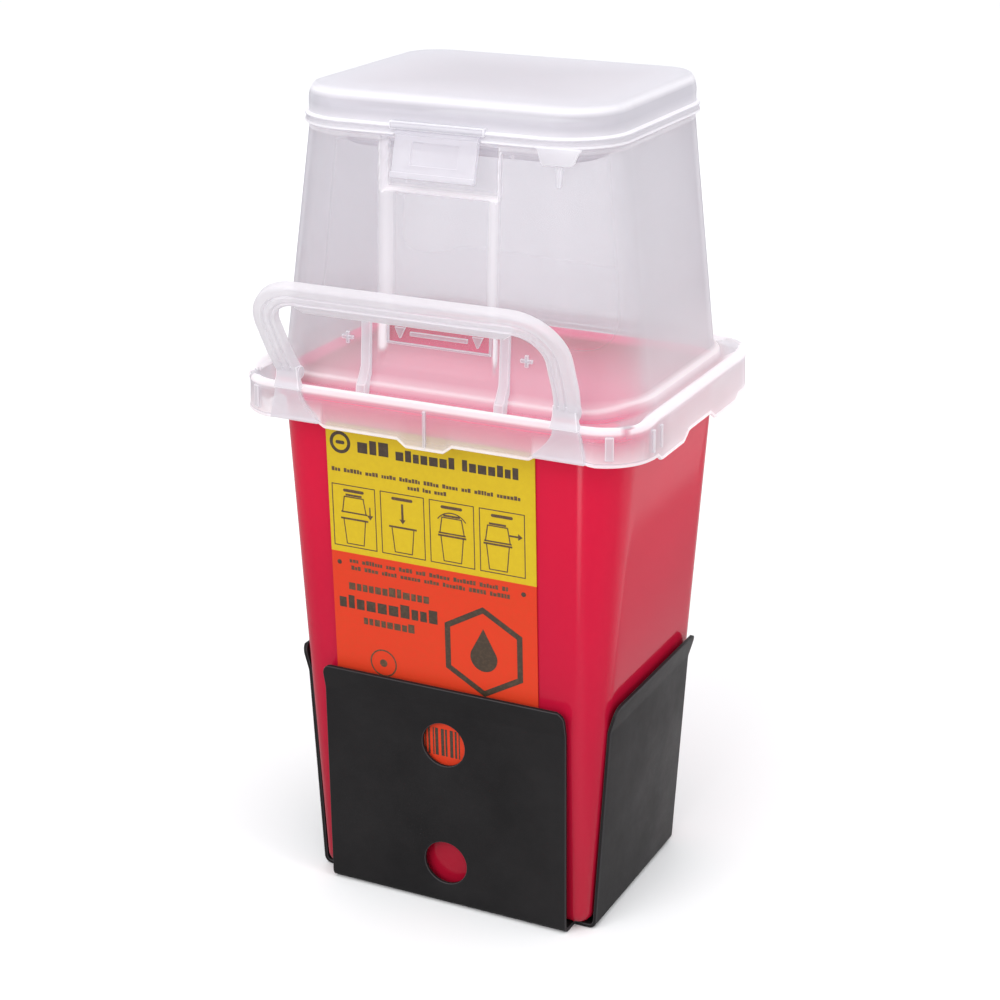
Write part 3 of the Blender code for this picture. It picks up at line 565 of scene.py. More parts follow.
def make_bracket():
    centre = SHEET / 2
    front = sheet_profile(BASE_FRONT - centre, FRONT_LEAN, LIP_ANGLE)
    back = sheet_profile(BASE_BACK - centre, 0.0, 0.0)
    side = sheet_profile(BASE_HALF_X - centre, SIDE_LEAN, LIP_ANGLE)
    along = [(-u, v) for u, v in front[:0:-1]] + back[1:]
    across = [(-u, v) for u, v in side[:0:-1]] + side[1:]
    bracket = prism("bracket_sheet", thickened(along, SHEET), -FRONT_HALF_WIDTH, FRONT_HALF_WIDTH, "x")
    wings = prism("wings", thickened(across, SHEET), -SIDE_HALF_DEPTH, SIDE_HALF_DEPTH, "y")
    top = max(v for u, v in front) + SHEET / 4
    cuts = ((bracket, FRONT_HALF_WIDTH, 0.08, "y"), (wings, SIDE_HALF_DEPTH, 0.09, "x"))
    for sheet, half, reach, axis in cuts:
        trim = prism("trim", panel_outline(half - 1e-5, top), -reach, reach, axis)
        combine(sheet, [trim], "INTERSECT")
    combine(bracket, [wings], "UNION")
    holes = []
    for z in HOLE_HEIGHTS:
        holes.append(cylinder("access", ACCESS_RADIUS, (0, -0.07, z), (0, -0.03, z), 64))
        holes.append(cylinder("screw", SCREW_RADIUS, (0, 0.03, z), (0, 0.07, z), 32))
    combine(bracket, holes, "DIFFERENCE")
    bevelled(bracket, 0.00035, 3, 40)
    finish_piece(bracket, "bracket", "wall_bracket", LOOKS["black"])


# ---------------- tub


def tub_section(z):
    return between(TUB_FLOOR, TUB_TOP, TUB_FLOOR_Z, TUB_TOP_Z, z)


def rounded_foot(radius, inset, floor_z, steps):
    """Sections up the rounded edge between the tub's floor and its wall."""
    rows = []
    for step in range(steps + 1):
        angle = math.radians(90 * step / steps)
        z = floor_z + radius * (1 - math.cos(angle))
        rows.append((grown(tub_section(z), inset - radius * (1 - math.sin(angle))), z))
    return rows


def make_tub():
    edge, floor = 0.0050, 0.0022
    rows = rounded_foot(edge, 0.0, TUB_FLOOR_Z, 8)
    turn, low = TUB_TOP_Z - TUB_WALL, TUB_TOP_Z - 0.0055
    for z in np.linspace(TUB_FLOOR_Z + edge + 0.002, turn - TUB_WALL, 24):
        rows.append((tub_section(z), z))
    reach = RIM_REACH - TUB_WALL
    rows += stack(tub_section(turn), (0.0004, turn - 0.0004), (reach - 0.0004, turn), (reach, turn - 0.0004))
    rows += stack(
        tub_section(low), (reach, low + 0.0003), (reach + 0.0003, low), (RIM_REACH - 0.0003, low),
        (RIM_REACH, low + 0.0003),
    )
    rows += stack(tub_section(turn), (RIM_REACH, turn), (RIM_REACH - 0.0004, TUB_TOP_Z - 0.0006))
    rows += stack(
        tub_section(TUB_TOP_Z), (RIM_REACH - 0.0016, TUB_TOP_Z), (-TUB_WALL / 3, TUB_TOP_Z),
        (-TUB_WALL, TUB_TOP_Z - 0.0010),
    )
    rim_row = len(rows) - 2
    inner_edge = edge - TUB_WALL
    for z in np.linspace(TUB_TOP_Z - 0.003, TUB_FLOOR_Z + floor + inner_edge + 0.001, 12):
        rows.append((grown(tub_section(z), -TUB_WALL), z))
    rows += rounded_foot(inner_edge, -TUB_WALL, TUB_FLOOR_Z + floor, 6)[::-1]
    rings = [ring(s, z, 16, 24, 24, 18) for s, z in rows]
    tub = skin("tub_body", rings)
    height = np.concatenate(rings)[:, 2]
    inside = np.arange(len(height)) >= (rim_row + 2) * len(rings[0])
    # Painted glow where the tub is seen through the lid: full inside the tub below the rim, weaker near the
    # inner rim, and on the outer wall from just below the skirt's edge upwards.
    under_lid = smooth((height - SKIRT_HIGH_Z + 0.006) / 0.008)
    rim = smooth((height - low + 0.0002) / 0.0010)
    mark_edges(tub, np.where(inside, 1.0 - 0.9 * rim, 0.8 * under_lid))
    finish_piece(tub, "container", "sharps_tub", LOOKS["red"], 50)


# ---------------- label and its print

LABEL_X = (LABEL_LO.x + LABEL_HI.x) / 2
FILM_GAP, FILM_THICKNESS, INK_THICKNESS = 0.0003, 0.0004, 0.00005


def make_label():
    half_w = (LABEL_HI.x - LABEL_LO.x) / 2
    half_h = (LABEL_HI.z - LABEL_LO.z) / 2
    middle = (LABEL_HI.z + LABEL_LO.z) / 2
    outline = ring((half_w, half_h, half_h, 0.0020), 0.0, 6, 8, 8, 12)
    rings = [
        np.array([(x + LABEL_X, -tub_section(z + middle)[1] - offset, z + middle) for x, z, _ in outline])
        for offset in (FILM_GAP, FILM_GAP + FILM_THICKNESS)
    ]
    finish_piece(skin("label_film_sheet", rings), "container", "front_label", LOOKS["label"])


class Print:
    """Flat ink shapes on the label, in millimetres: x from the label's centre, z above the bench."""

    def __init__(self):
        self.points, self.faces = [], []

    def shape(self, outline):
        base = len(self.points)
        for offset in (0.0, INK_THICKNESS):
            for x, z in outline:
                x, z = LABEL_X + x / 1000, z / 1000
                y = -tub_section(z)[1] - FILM_GAP - FILM_THICKNESS - offset
                self.points.append((x, y, z))
        count = len(outline)
        self.faces.append(tuple(range(base + count, base + 2 * count)))
        for i in range(count):
            j = (i + 1) % count
            self.faces.append((base + i, base + j, base + count + j, base + count + i))

    def block(self, left, low, right, high):
        self.shape([(left, low), (right, low), (right, high), (left, high)])

    def bar(self, x0, x1, z, height):
        """A lozenge with round ends, standing for a word."""
        half = min(height / 2, (x1 - x0) / 2)
        self.shape(turned(x1 - half, z, half, -90, 90, 6) + turned(x0 + half, z, half, 90, 270, 6))

    def words(self, x0, x1, z, height, shortest, longest, space):
        """Words of mixed lengths between x0 and x1, each a row of plain blocks in place of letters."""
        x = x0
        while x < x1 - shortest / 2:
            end = min(x + rng.uniform(shortest, longest), x1)
            while x < end:
                wide = height * rng.uniform(0.45, 0.80)
                tall = height * (1.0 if rng.random() < 0.4 else 0.78)
                self.block(x, z - height / 2, x + wide, z - height / 2 + tall)
                x += wide + height * 0.17
            x += space

    def stroke(self, path, width, closed=False):
        count = len(path)
        for i in range(count if closed else count - 1):
            a, b = Vector(path[i]), Vector(path[(i + 1) % count])
            along = (b - a).normalized() * (width / 4)
            across = Vector((-along.y, along.x)) * 2
            start, end = a - along, b + along
            self.shape([tuple(p) for p in (start - across, end - across, end + across, start + across)])

    def arc(self, cx, cz, radius, width, start=0, end=360, steps=40):
        inner = turned(cx, cz, radius - width / 2, start, end, steps)
        outer = turned(cx, cz, radius + width / 2, start, end, steps)
        for i in range(steps):
            self.shape([inner[i], outer[i], outer[i + 1], inner[i + 1]])

    def disc(self, cx, cz, radius, steps=24):
        self.shape(turned(cx, cz, radius, 0, 360, steps)[:-1])

    def made(self, name, look):
        obj = mesh_object(name, self.points, self.faces)
        outward(obj)
        obj.data.materials.append(look)
        claim(obj, "container", "front_label")


def tub_picture(art, cx, z, lift=0.0, lid=True):
    """A small line drawing of a tapered tub, with its domed lid lifted off by a distance."""
    art.stroke([(cx - 4.6, z + 6.5), (cx - 3.6, z - 3.5), (cx + 3.6, z - 3.5), (cx + 4.6, z + 6.5)], 0.40)
    art.stroke([(cx - 5.6, z + 6.6), (cx + 5.6, z + 6.6)], 0.75)
    if lid:
        top = z + 7.6 + lift
        art.stroke([(cx - 5.0, top), (cx - 4.0, top + 6.2), (cx + 4.0, top + 6.2), (cx + 5.0, top)], 0.45)
        art.stroke([(cx - 5.4, top), (cx + 5.4, top)], 0.6)
        art.stroke([(cx - 3.2, top + 7.0), (cx + 3.2, top + 7.0)], 0.8)


def arrow(art, x, z, dx, dz, width):
    start, tip = Vector((x, z)), Vector((x + dx, z + dz))
    along = (tip - start).normalized()
    side = Vector((-along.y, along.x))
    neck = tip - along * 1.8
    art.stroke([tuple(start), tuple(neck)], width)
    art.shape([tuple(tip), tuple(neck + side * 1.3), tuple(neck - side * 1.3)])


def make_print():
    dark, soft = Print(), Print()
    dark.arc(-36.7, 186.4, 3.7, 1.3)
    dark.bar(-38.6, -34.8, 186.4, 1.4)
    dark.words(-29.4, -20.4, 186.1, 5.4, 8.9, 9.0, 1.0)
    dark.words(-13.5, 38.8, 185.0, 4.4, 15.0, 26.0, 2.4)
    soft.words(-40.8, 38.4, 175.6, 1.6, 3.0, 9.0, 1.3)
    soft.words(-9.0, 8.6, 172.7, 1.6, 3.0, 5.0, 1.2)
    low, high = 144.9, 169.6
    for index in range(4):
        left = -41.0 + 20.4 * index
        right = left + 18.0
        soft.stroke([(left, low), (right, low), (right, high), (left, high)], 0.38, True)
        soft.bar(left + 4.6, right - 4.6, high - 2.1, 1.2)
    stand = 149.6
    tub_picture(soft, -32.0, stand, 1.6)
    arrow(soft, -25.3, 162.0, 0.0, -5.0, 0.5)
    tub_picture(soft, -11.6, stand, 0.0, False)
    arrow(soft, -11.6, 165.5, 0.0, -7.8, 0.9)
    tub_picture(soft, 8.8, stand)
    soft.arc(8.8, 158.5, 7.0, 0.45, 35, 145, 12)
    tub_picture(soft, 27.4, stand)
    arrow(soft, 32.2, 160.6, 5.2, 0.0, 0.7)
    for z, x0, x1 in ((139.2, -35.0, 30.8), (136.3, -34.4, 32.6)):
        soft.words(x0, x1, z, 1.7, 3.5, 9.0, 1.4)
    for x, z in ((-39.4, 137.9), (37.4, 138.3)):
        dark.disc(x, z, 0.95)
    soft.words(-35.8, -2.8, 129.0, 3.7, 32.0, 33.0, 1.0)
    dark.words(-40.2, 1.4, 122.0, 5.4, 40.0, 41.0, 1.0)
    soft.words(-30.0, -9.0, 115.4, 3.5, 20.0, 21.0, 1.0)
    soft.arc(-22.2, 98.6, 5.4, 0.6)
    soft.disc(-22.2, 98.6, 1.6)
    cx, cz = 20.6, 111.6
    dark.arc(cx, cz, 17.2, 2.6, 30, 390, 6)
    dark.shape([(cx, cz + 9.6)] + turned(cx, cz - 2.4, 5.6, 35, -215, 24))
    x = -8.6
    while x < 10.0:
        width = rng.choice([0.5, 0.8, 1.3])
        dark.block(x, 64.0, x + width, 75.6)
        x += width + rng.choice([0.5, 0.8, 1.2])
    dark.made("label_print_dark", LOOKS["ink_dark"])
    soft.made("label_print_fine", LOOKS["ink_soft"])


# ---------------- lid

SKIRT_COLUMNS = (14, 200, 90, 70)
FRONT_DIP = 0.0018
EDGE_ALONG = (
    (0.0, 0.0075, 0.0110, 0.0410, 0.0440, 0.0620, 0.0645),
    (SKIRT_TAB_Z, SKIRT_TAB_Z, SKIRT_LOW_Z, SKIRT_LOW_Z, SKIRT_HIGH_Z, SKIRT_HIGH_Z, SKIRT_CORNER_Z),
)
EDGE_SIDE = (
    (0.0, 0.0110, 0.0160, 0.0370, 0.0400),
    (SKIRT_HIGH_Z, SKIRT_HIGH_Z, SKIRT_MID_Z, SKIRT_MID_Z, SKIRT_CORNER_Z),
)
PLAQUE_HALF, PLAQUE_LOW, PLAQUE_HIGH = 0.0209, 0.2264, 0.2352
RIB_X, RIB_WIDTH, RIB_TOP_Z = 0.0276, 0.0037, 0.2400
LUG_X, LUG_Z, STUB_X = 0.0357, 0.2273, 0.0462
FLUTES = ((-62, 0.0030), (-6, 0.0014), (8, 0.0014))
FOOT_OUTER, FOOT_INNER, FOOT_FRONT_Y = 0.0598, 0.0508, LID_LO.y
EAR_RADIUS, EAR_NEAR, EAR_FAR = 0.0026, 0.0043, 0.0068
PIN_RADIUS, BORE_RADIUS, KNUCKLE_RADIUS, KNUCKLE_HALF = 0.0015, 0.0018, 0.0030, 0.0040
HINGE_PLACES = tuple(enumerate((-0.029, 0.029)))


def dome_section(z):
    return between(DOME_FOOT, DOME_TOP, DOME_FOOT_Z, DOME_TOP_Z, z)


def dome_front(z):
    return -dome_section(z)[1]


def front_dip(points):
    """The flange sits a little lower along the front, between the corners."""
    return FRONT_DIP * smooth((-points[:, 1] - 0.0400) / 0.0120)


def skirt_edge(points):
    """Height of the skirt's scalloped lower edge over each point."""
    along = np.interp(np.abs(points[:, 0]), *EDGE_ALONG)
    side = np.interp(np.abs(points[:, 1]), *EDGE_SIDE)
    return along + side - SKIRT_CORNER_Z


def recess_depth(x, z):
    """How far the dome's front wall is set back at a point."""
    x = np.abs(x)
    slope = RECESS_SLOPE_LOW + (RECESS_SLOPE_HIGH - RECESS_SLOPE_LOW) * smooth((z - PLAQUE_HIGH) / 0.008)
    channel = RECESS_DEPTH * ramp((RECESS_HALF - x) / slope) * smooth((z - RECESS_LOW + 0.0015) / 0.0070)
    pocket = POCKET_DEPTH * smooth((POCKET_HALF - x) / POCKET_SLOPE) * smooth((z - POCKET_LOW) / POCKET_SLOPE)
    return np.maximum(channel, pocket) * smooth((DOME_TOP_Z - 0.0004 - z) / 0.0006)


def recess_edge(x, z):
    """How strongly a point lies on a side or ledge of the recess, 0 to 1."""
    step = 0.0004
    across = np.abs(recess_depth(x + step, z) - recess_depth(x - step, z))
    up = np.abs(recess_depth(x, z + step) - recess_depth(x, z - step))
    across *= smooth((z - PLAQUE_LOW + 0.0040) / 0.0040)
    up *= smooth((z - PLAQUE_HIGH) / 0.0020)
    return np.clip((1.05 * across + 2.2 * up) / (2 * step), 0.0, 0.9)


def dome_ring(z, inset=0.0):
    points = ring(grown(dome_section(z), -inset), z, *SKIRT_COLUMNS)
    front = (points[:, 1] < 0) & (np.abs(points[:, 0]) < RECESS_HALF)
    points[front, 1] += recess_depth(points[front, 0], z)
    return points


def lowered(points):
    points[:, 2] -= front_dip(points)
    return points


def bead_rings():
    """The rounded bead round the flange's edge."""
    radius, made = 0.0019, []
    for step in range(13):
        angle = math.radians(-25 + 180 * step / 12)
        section = grown(SKIRT, radius * (math.cos(angle) - 1) + 0.0002)
        made.append((section, BEAD_Z - radius + radius * math.sin(angle)))
    return made


def edge_ring(section, rise):
    """A ring that follows the skirt's scalloped lower edge, a little above it."""
    points = ring(section, 0.0, *SKIRT_COLUMNS)
    points[:, 2] = skirt_edge(points) + rise
    return points


def lid_rings():
    skirt_in = grown(SKIRT, -SKIRT_WALL)
    neck = grown(DOME_TOP, -NECK_STEP)
    deck, under = NECK_TOP_Z - DOME_WALL, CHANNEL_Z - DOME_WALL
    heights = np.linspace(DOME_FOOT_Z + 0.0018, DOME_TOP_Z - 0.0008, 170)
    outer_lip = ((-0.0002, 0.0), (0.0003, 0.0003), (0.0003, 0.0007), (0.0, 0.0010), (0.0, 0.0016))
    inner_lip = ((0.0, 0.0010), (0.0004, 0.0003), (0.0008, 0.0))
    wall = stack(SKIRT, (0.0, SKIRT_HIGH_Z + 0.0020), (-0.0003, BEAD_Z - 0.0050), (-0.0003, BEAD_Z - 0.0040))
    wall += bead_rings()
    wall += stack(SKIRT, (-0.0037, CHANNEL_Z + 0.0004), (-0.0042, CHANNEL_Z))
    wall += stack(
        DOME_FOOT, (0.0034, CHANNEL_Z), (0.0027, CHANNEL_Z + 0.0003), (0.0024, CHANNEL_Z + 0.0009),
        (0.0021, DOME_FOOT_Z - 0.0010), (0.0017, DOME_FOOT_Z - 0.0003), (0.0011, DOME_FOOT_Z),
        (0.0006, DOME_FOOT_Z + 0.0002), (0.0002, DOME_FOOT_Z + 0.0008),
    )
    top = stack(DOME_TOP, (-0.0003, DOME_TOP_Z - 0.0002), (-0.0009, DOME_TOP_Z))
    top += stack(
        neck, (0.0003, DOME_TOP_Z), (0.0, DOME_TOP_Z + 0.0004), (0.0, NECK_TOP_Z - 0.0010),
        (-0.0003, NECK_TOP_Z - 0.0003), (-0.0010, NECK_TOP_Z),
    )
    top += stack(
        ENTRY, (0.0012, NECK_TOP_Z), (0.0003, NECK_TOP_Z - 0.0003), (0.0, NECK_TOP_Z - 0.0012),
        (-0.0020, NECK_TOP_Z - ENTRY_DEPTH), (-0.0013, NECK_TOP_Z - ENTRY_DEPTH - 0.0004),
        (-0.0006, NECK_TOP_Z - ENTRY_DEPTH), (0.0014, deck),
    )
    top += stack(neck, (-DOME_WALL, deck), (-DOME_WALL, DOME_TOP_Z - 0.0010))
    below = stack(DOME_FOOT, (0.0006, DOME_FOOT_Z - DOME_WALL), (0.0014, under))
    below += stack(skirt_in, (-0.0010, under), (-0.0003, under - 0.0003), (0.0, under - 0.0010))
    rings = [edge_ring(grown(SKIRT, amount), rise) for amount, rise in outer_lip]
    rings += [lowered(ring(section, z, *SKIRT_COLUMNS)) for section, z in wall]
    rings += [dome_ring(z) for z in heights]
    rings += [ring(section, z, *SKIRT_COLUMNS) for section, z in top]
    rings += [dome_ring(z, DOME_WALL) for z in heights[-6::-3] if z > DOME_FOOT_Z + 0.0004]
    rings += [lowered(ring(section, z, *SKIRT_COLUMNS)) for section, z in below]
    return rings + [edge_ring(grown(skirt_in, amount), rise) for amount, rise in inner_lip]


def lid_piece(obj, sharp=40):
    finish_piece(obj, "lid", "dome_lid", LOOKS["dome"], sharp)


def make_ribs():
    low = CHANNEL_Z + 0.0001 - FRONT_DIP
    base, foot = dome_front(low), dome_front(DOME_FOOT_Z)
    head = dome_front(RIB_TOP_Z)
    outline = [
        (base - 0.0060, low), (base - 0.0056, CHANNEL_Z + 0.0024), (base - 0.0044, CHANNEL_Z + 0.0036),
        (foot - 0.0020, DOME_FOOT_Z + 0.0044), (head - 0.0016, RIB_TOP_Z - 0.0014),
        (head - 0.0004, RIB_TOP_Z), (head + 0.0003, RIB_TOP_Z), (foot - 0.0002, DOME_FOOT_Z + 0.0010),
        (foot - 0.0014, DOME_FOOT_Z - 0.0006), (base - 0.0020, low),
    ]
    for name, side in SIDES:
        x = side * RIB_X
        rib = prism("dome_rib_" + name, outline, x - RIB_WIDTH / 2, x + RIB_WIDTH / 2, "x")
        lid_piece(bevelled(rib, 0.0006, 3, flat=0.35))


def on_front(name, half_low, half_high, low_z, high_z, proud, sunk, x=0.0, set_back=0.0):
    """A block standing out of the dome's leaning front wall."""
    rings = []
    for z, half in ((low_z, half_low), (high_z, half_high)):
        face = dome_front(z) + set_back
        corners = ((-half, -proud), (half, -proud), (half, sunk), (-half, sunk))
        rings.append(np.array([(x + u, face + v, z) for u, v in corners]))
    return skin(name, rings)


def make_marks():
    """The raised level mark on the recess's floor, two small cross lugs and the stub rib under the prong."""
    line, low, high = 0.0009, PLAQUE_LOW, PLAQUE_HIGH
    middle = (low + high) / 2
    blocks = [
        (PLAQUE_HALF, PLAQUE_HALF, low, low + line, 0.0007, 0.0),
        (PLAQUE_HALF, PLAQUE_HALF, high - line, high, 0.0007, 0.0),
        (0.0115, 0.0115, middle - 0.0008, middle + 0.0008, 0.0007, 0.0),
    ]
    for side in (-1, 1):
        upright = side * (PLAQUE_HALF - line / 2)
        blocks.append((line / 2, line / 2, low + line / 2, high - line / 2, 0.00065, upright))
        blocks.append((0.0003, 0.0022, middle - 0.0020, middle + 0.0020, 0.0007, side * 0.0155))
    for index, (half_low, half_high, bottom, top, proud, x) in enumerate(blocks):
        name = f"level_mark_{index}"
        mark = on_front(name, half_low, half_high, bottom, top, proud, 0.0003, x, RECESS_DEPTH)
        lid_piece(bevelled(mark, 0.0002, 2, flat=0.10))
    for name, side in SIDES:
        for arm, half, reach in (("across", 0.0024, 0.0007), ("upright", 0.0007, 0.0022)):
            low, high = LUG_Z - reach, LUG_Z + reach
            lug = on_front(f"dome_lug_{name}_{arm}", half, half, low, high, 0.0008, 0.0003, side * LUG_X)
            lid_piece(bevelled(lug, 0.0003, 2, flat=0.15))
    low, high = CAP_RIM_Z - 0.0125, CAP_RIM_Z - 0.0058
    stub = on_front("prong_stub", 0.0006, 0.0010, low, high, 0.0008, 0.0003, STUB_X)
    lid_piece(bevelled(stub, 0.0003, 2, flat=0.4))


def make_feet():
    low, top = SKIRT_HIGH_Z + 0.0001, BEAD_Z - 0.0004 - FRONT_DIP
    outline = [(0.0430, low), (0.0628, low), (0.0618, SKIRT_HIGH_Z + 0.0050), (FOOT_OUTER, CHANNEL_Z)]
    outline += [(FOOT_OUTER, top), (FOOT_INNER, top)]
    for share in (step / 6 for step in range(7)):
        fall = (top - SKIRT_HIGH_Z - 0.0035) * share
        outline.append((FOOT_INNER - 0.0070 * share**1.7, top - 0.0016 - fall))
    for name, side in SIDES:
        shape = [(side * u, v) for u, v in outline]
        foot = prism("handle_foot_" + name, shape, FOOT_FRONT_Y, -SKIRT[1] + 0.0012, "y")
        lid_piece(bevelled(foot, 0.0005, 3, flat=0.35))


def hinge_rod(name, x, half, radius, segments=32):
    """A rod along the cap's hinge line."""
    return cylinder(name, radius, (x - half, *CAP_HINGE.yz), (x + half, *CAP_HINGE.yz), segments)


def make_ears():
    wall_y = DOME_TOP[2] - 0.0008
    outline = [(wall_y, CAP_HINGE.z - 0.0120)]
    outline += turned(*CAP_HINGE.yz, EAR_RADIUS, -35, 235, 24)
    outline.append((wall_y, DOME_TOP_Z - 0.0004))
    for index, x in HINGE_PLACES:
        for half, ear in (("a", -1), ("b", 1)):
            near, far = sorted((x + ear * EAR_NEAR, x + ear * EAR_FAR))
            lid_piece(bevelled(prism(f"hinge_ear_{index}{half}", outline, near, far, "x"), 0.0003, 2))
        lid_piece(hinge_rod(f"hinge_pin_{index}", x, 0.0055, PIN_RADIUS))


def lid_edge(points):
    """Where the lid looks whiter and glows, partly denser plastic and partly painted highlight and glow: the
    recess's sides, bead, rim, foot and top, and the low dome and skirt. Below zero it is clearer.
    """
    x, y, z = points.T
    front = (y < -0.030) & (np.abs(x) < RECESS_HALF + 0.002) & (z > DOME_FOOT_Z + 0.001)
    weight = np.where(front, recess_edge(x, z) * smooth((DOME_TOP_Z - z) / 0.0030), 0.0)
    level = z + front_dip(points)
    outer = np.abs(x) > DOME_FOOT[0] + 0.004
    outer |= (y < -DOME_FOOT[1] - 0.004) | (y > DOME_FOOT[2] + 0.004)
    bead = smooth((level - BEAD_Z + 0.0032) / 0.0016) * outer * (z < BEAD_Z + 0.0003)
    rim = smooth((skirt_edge(points) + 0.0018 - z) / 0.0010)
    foot = smooth(1 - np.abs(level - DOME_FOOT_Z) / 0.0016) * (z < DOME_FOOT_Z + 0.0016)
    top = smooth((z - DOME_TOP_Z + 0.0020) / 0.0010)
    # The low dome and the skirt are milkier and glow: denser plastic, with a painted glow in place of light
    # the plastic scatters where the tub shades it.
    milky_and_painted_glow = 0.22 * smooth((DOME_FOOT_Z + 0.030 - z) / 0.025) * smooth((level - DOME_FOOT_Z + 0.0040) / 0.0040)
    milky_and_painted_glow += 0.30 * smooth((y + 0.045) / 0.020) * (level < DOME_FOOT_Z)
    plaque = (y < -0.030) & (np.abs(x) < PLAQUE_HALF) & (z > PLAQUE_LOW) & (z < PLAQUE_HIGH)
    total = milky_and_painted_glow + weight + bead + 0.8 * rim + 0.6 * foot + 0.5 * top
    return np.where(plaque, -0.13, np.clip(total, 0.0, 1.0))


def make_flutes():
    """Short upright ribs on the skirt near its front corners."""
    top = BEAD_Z - FRONT_DIP - 0.0030
    radius = SKIRT[3]
    centre_x, centre_y = SKIRT[0] - radius, radius - SKIRT[1]
    for side in (-1, 1):
        for index, (turn, width) in enumerate(FLUTES):
            angle = math.radians(min(turn, 0))
            x = centre_x + (radius - 0.0004) * math.cos(angle)
            y = centre_y + (radius - 0.0004) * math.sin(angle) + 0.0006 * max(turn, 0)
            rib = box("skirt_flute", (-0.0010, -width / 2, SKIRT_HIGH_Z + 0.0018), (0.0009, width / 2, top))
            bevelled(rib, 0.0004, 3, flat=0.3)
            rib.data.transform(Matrix.Translation((x, y, 0)) @ Matrix.Rotation(angle, 4, "Z"))
            if side < 0:
                rib.data.transform(Matrix.Scale(-1, 4, (1, 0, 0)))
                rib.data.flip_normals()
            rib.name = f"skirt_flute_{'left' if side < 0 else 'right'}_{index}"
            lid_piece(rib)


def make_lid():
    make_flutes()
    rings = lid_rings()
    shell = skin("dome_shell", rings, closed=True)
    lid_piece(mark_edges(shell, lid_edge(np.concatenate(rings))), 60)
    make_ribs()
    make_marks()
    make_feet()
    make_ears()
    low = (-0.0005, -SKIRT[1] - 0.0006, SKIRT_TAB_Z + 0.0012)
    high = (0.0005, -SKIRT[1] + 0.0010, BEAD_Z - 0.0046)
    lid_piece(bevelled(box("pull_rib", low, high), 0.0003, 2))


# ---------------- cap and latch

NOTCH_HALF, BAR_HALF, LATCH_HALF, BARREL_HALF = 0.0164, 0.0184, 0.0160, 0.0161
LATCH_HALF_THICK, LATCH_LENGTH, LATCH_LEAN = 0.00085, 0.0150, math.radians(15)
PRONG_X, PRONG_HALF = 0.0459, 0.0069


def cap_edge(share, wall=0.0):
    """Section and height along the cap's rounded top edge: share 0 is the wall, 1 the roof."""
    angle = math.radians(90 * share)
    curl, rise = 1 - math.cos(angle), math.sin(angle)
    half_x, front, back, radius = grown(CAP_RIM, -CAP_STEP - wall)
    section = (half_x - 0.0040 * curl, front - 0.0075 * curl, back - 0.0075 * curl, radius - 0.0110 * curl)
    return section, CAP_TOP_Z - wall - 0.0065 * (1 - rise)


def roof(section, z, inward):
    """Rings from the roof's edge towards its middle, rising to a slight crown."""
    made = []
    for step in range(1, 7):
        share = step / 6.5
        made.append((tuple(part * (1 - share) for part in section), z + 0.0006 * smooth(share)))
    return made[::-1] if inward else made


def make_cap():
    steps = 10
    inner_edge = [cap_edge(1 - step / steps, CAP_WALL) for step in range(steps + 1)]
    outer_edge = [cap_edge(step / steps) for step in range(steps + 1)]
    rows = roof(*inner_edge[0], True) + inner_edge
    rows += stack(
        CAP_RIM, (-CAP_WALL - CAP_STEP + 0.0002, CAP_BAND_Z + 0.0004), (-CAP_WALL, CAP_BAND_Z - 0.0004),
        (-CAP_WALL, CAP_RIM_Z + 0.0003), (-CAP_WALL + 0.0003, CAP_RIM_Z), (-0.0002, CAP_RIM_Z),
        (0.0003, CAP_RIM_Z + 0.0004), (0.0003, CAP_RIM_Z + 0.0009), (-0.0001, CAP_RIM_Z + 0.0013),
        (-0.0001, CAP_BAND_Z - 0.0011), (0.0003, CAP_BAND_Z - 0.0007), (0.0002, CAP_BAND_Z - 0.0002),
        (-0.0003, CAP_BAND_Z + 0.0001), (-CAP_STEP + 0.0003, CAP_BAND_Z + 0.0001),
        (-CAP_STEP, CAP_BAND_Z + 0.0005),
    )
    rows += outer_edge + roof(*outer_edge[-1], False)
    rings = [ring(s, z, 18, 40, 24, 24) for s, z in rows]
    cap = skin("cap_shell", rings)
    height = np.concatenate(rings)[:, 2]
    # Whiter, glowing bands at the cap's top edge, rim and band: denser plastic, partly a painted highlight
    # and glow.
    top = smooth(1 - np.abs(height - CAP_TOP_Z + 0.0016) / 0.0022)
    rim = smooth(1 - np.abs(height - CAP_RIM_Z - 0.0006) / 0.0008)
    band = smooth(1 - np.abs(height - CAP_BAND_Z) / 0.0008)
    mark_edges(cap, np.clip(0.75 * top + np.maximum(rim, band), 0.0, 1.0))
    front, notch_top = -CAP_RIM[1], LATCH_PIVOT.z + 0.0014
    low, high = (-NOTCH_HALF, front - 0.006, CAP_RIM_Z - 0.002), (NOTCH_HALF, front + 0.0045, notch_top)
    combine(cap, [box("notch", low, high)], "DIFFERENCE")
    cap_piece(cap, 50)
    low, high = (-BAR_HALF, front - 0.0010, notch_top), (BAR_HALF, front + CAP_WALL, notch_top + 0.0030)
    cap_piece(bevelled(box("latch_bar", low, high), 0.0005, 3))
    cap_piece(bevelled(make_prong(), 0.0004, 3, flat=0.5))
    for index, x in HINGE_PLACES:
        knuckle = hinge_rod(f"hinge_knuckle_{index}", x, KNUCKLE_HALF, KNUCKLE_RADIUS, 40)
        low = (x - KNUCKLE_HALF, CAP_RIM[2] - 0.0008, CAP_HINGE.z - 0.0015)
        high = (x + KNUCKLE_HALF, CAP_HINGE.y - 0.0006, CAP_HINGE.z + 0.0016)
        combine(knuckle, [box("web", low, high)], "UNION")
        combine(knuckle, [hinge_rod("bore", x, 0.005, BORE_RADIUS)], "DIFFERENCE")
        cap_piece(bevelled(knuckle, 0.0002, 2, 50))


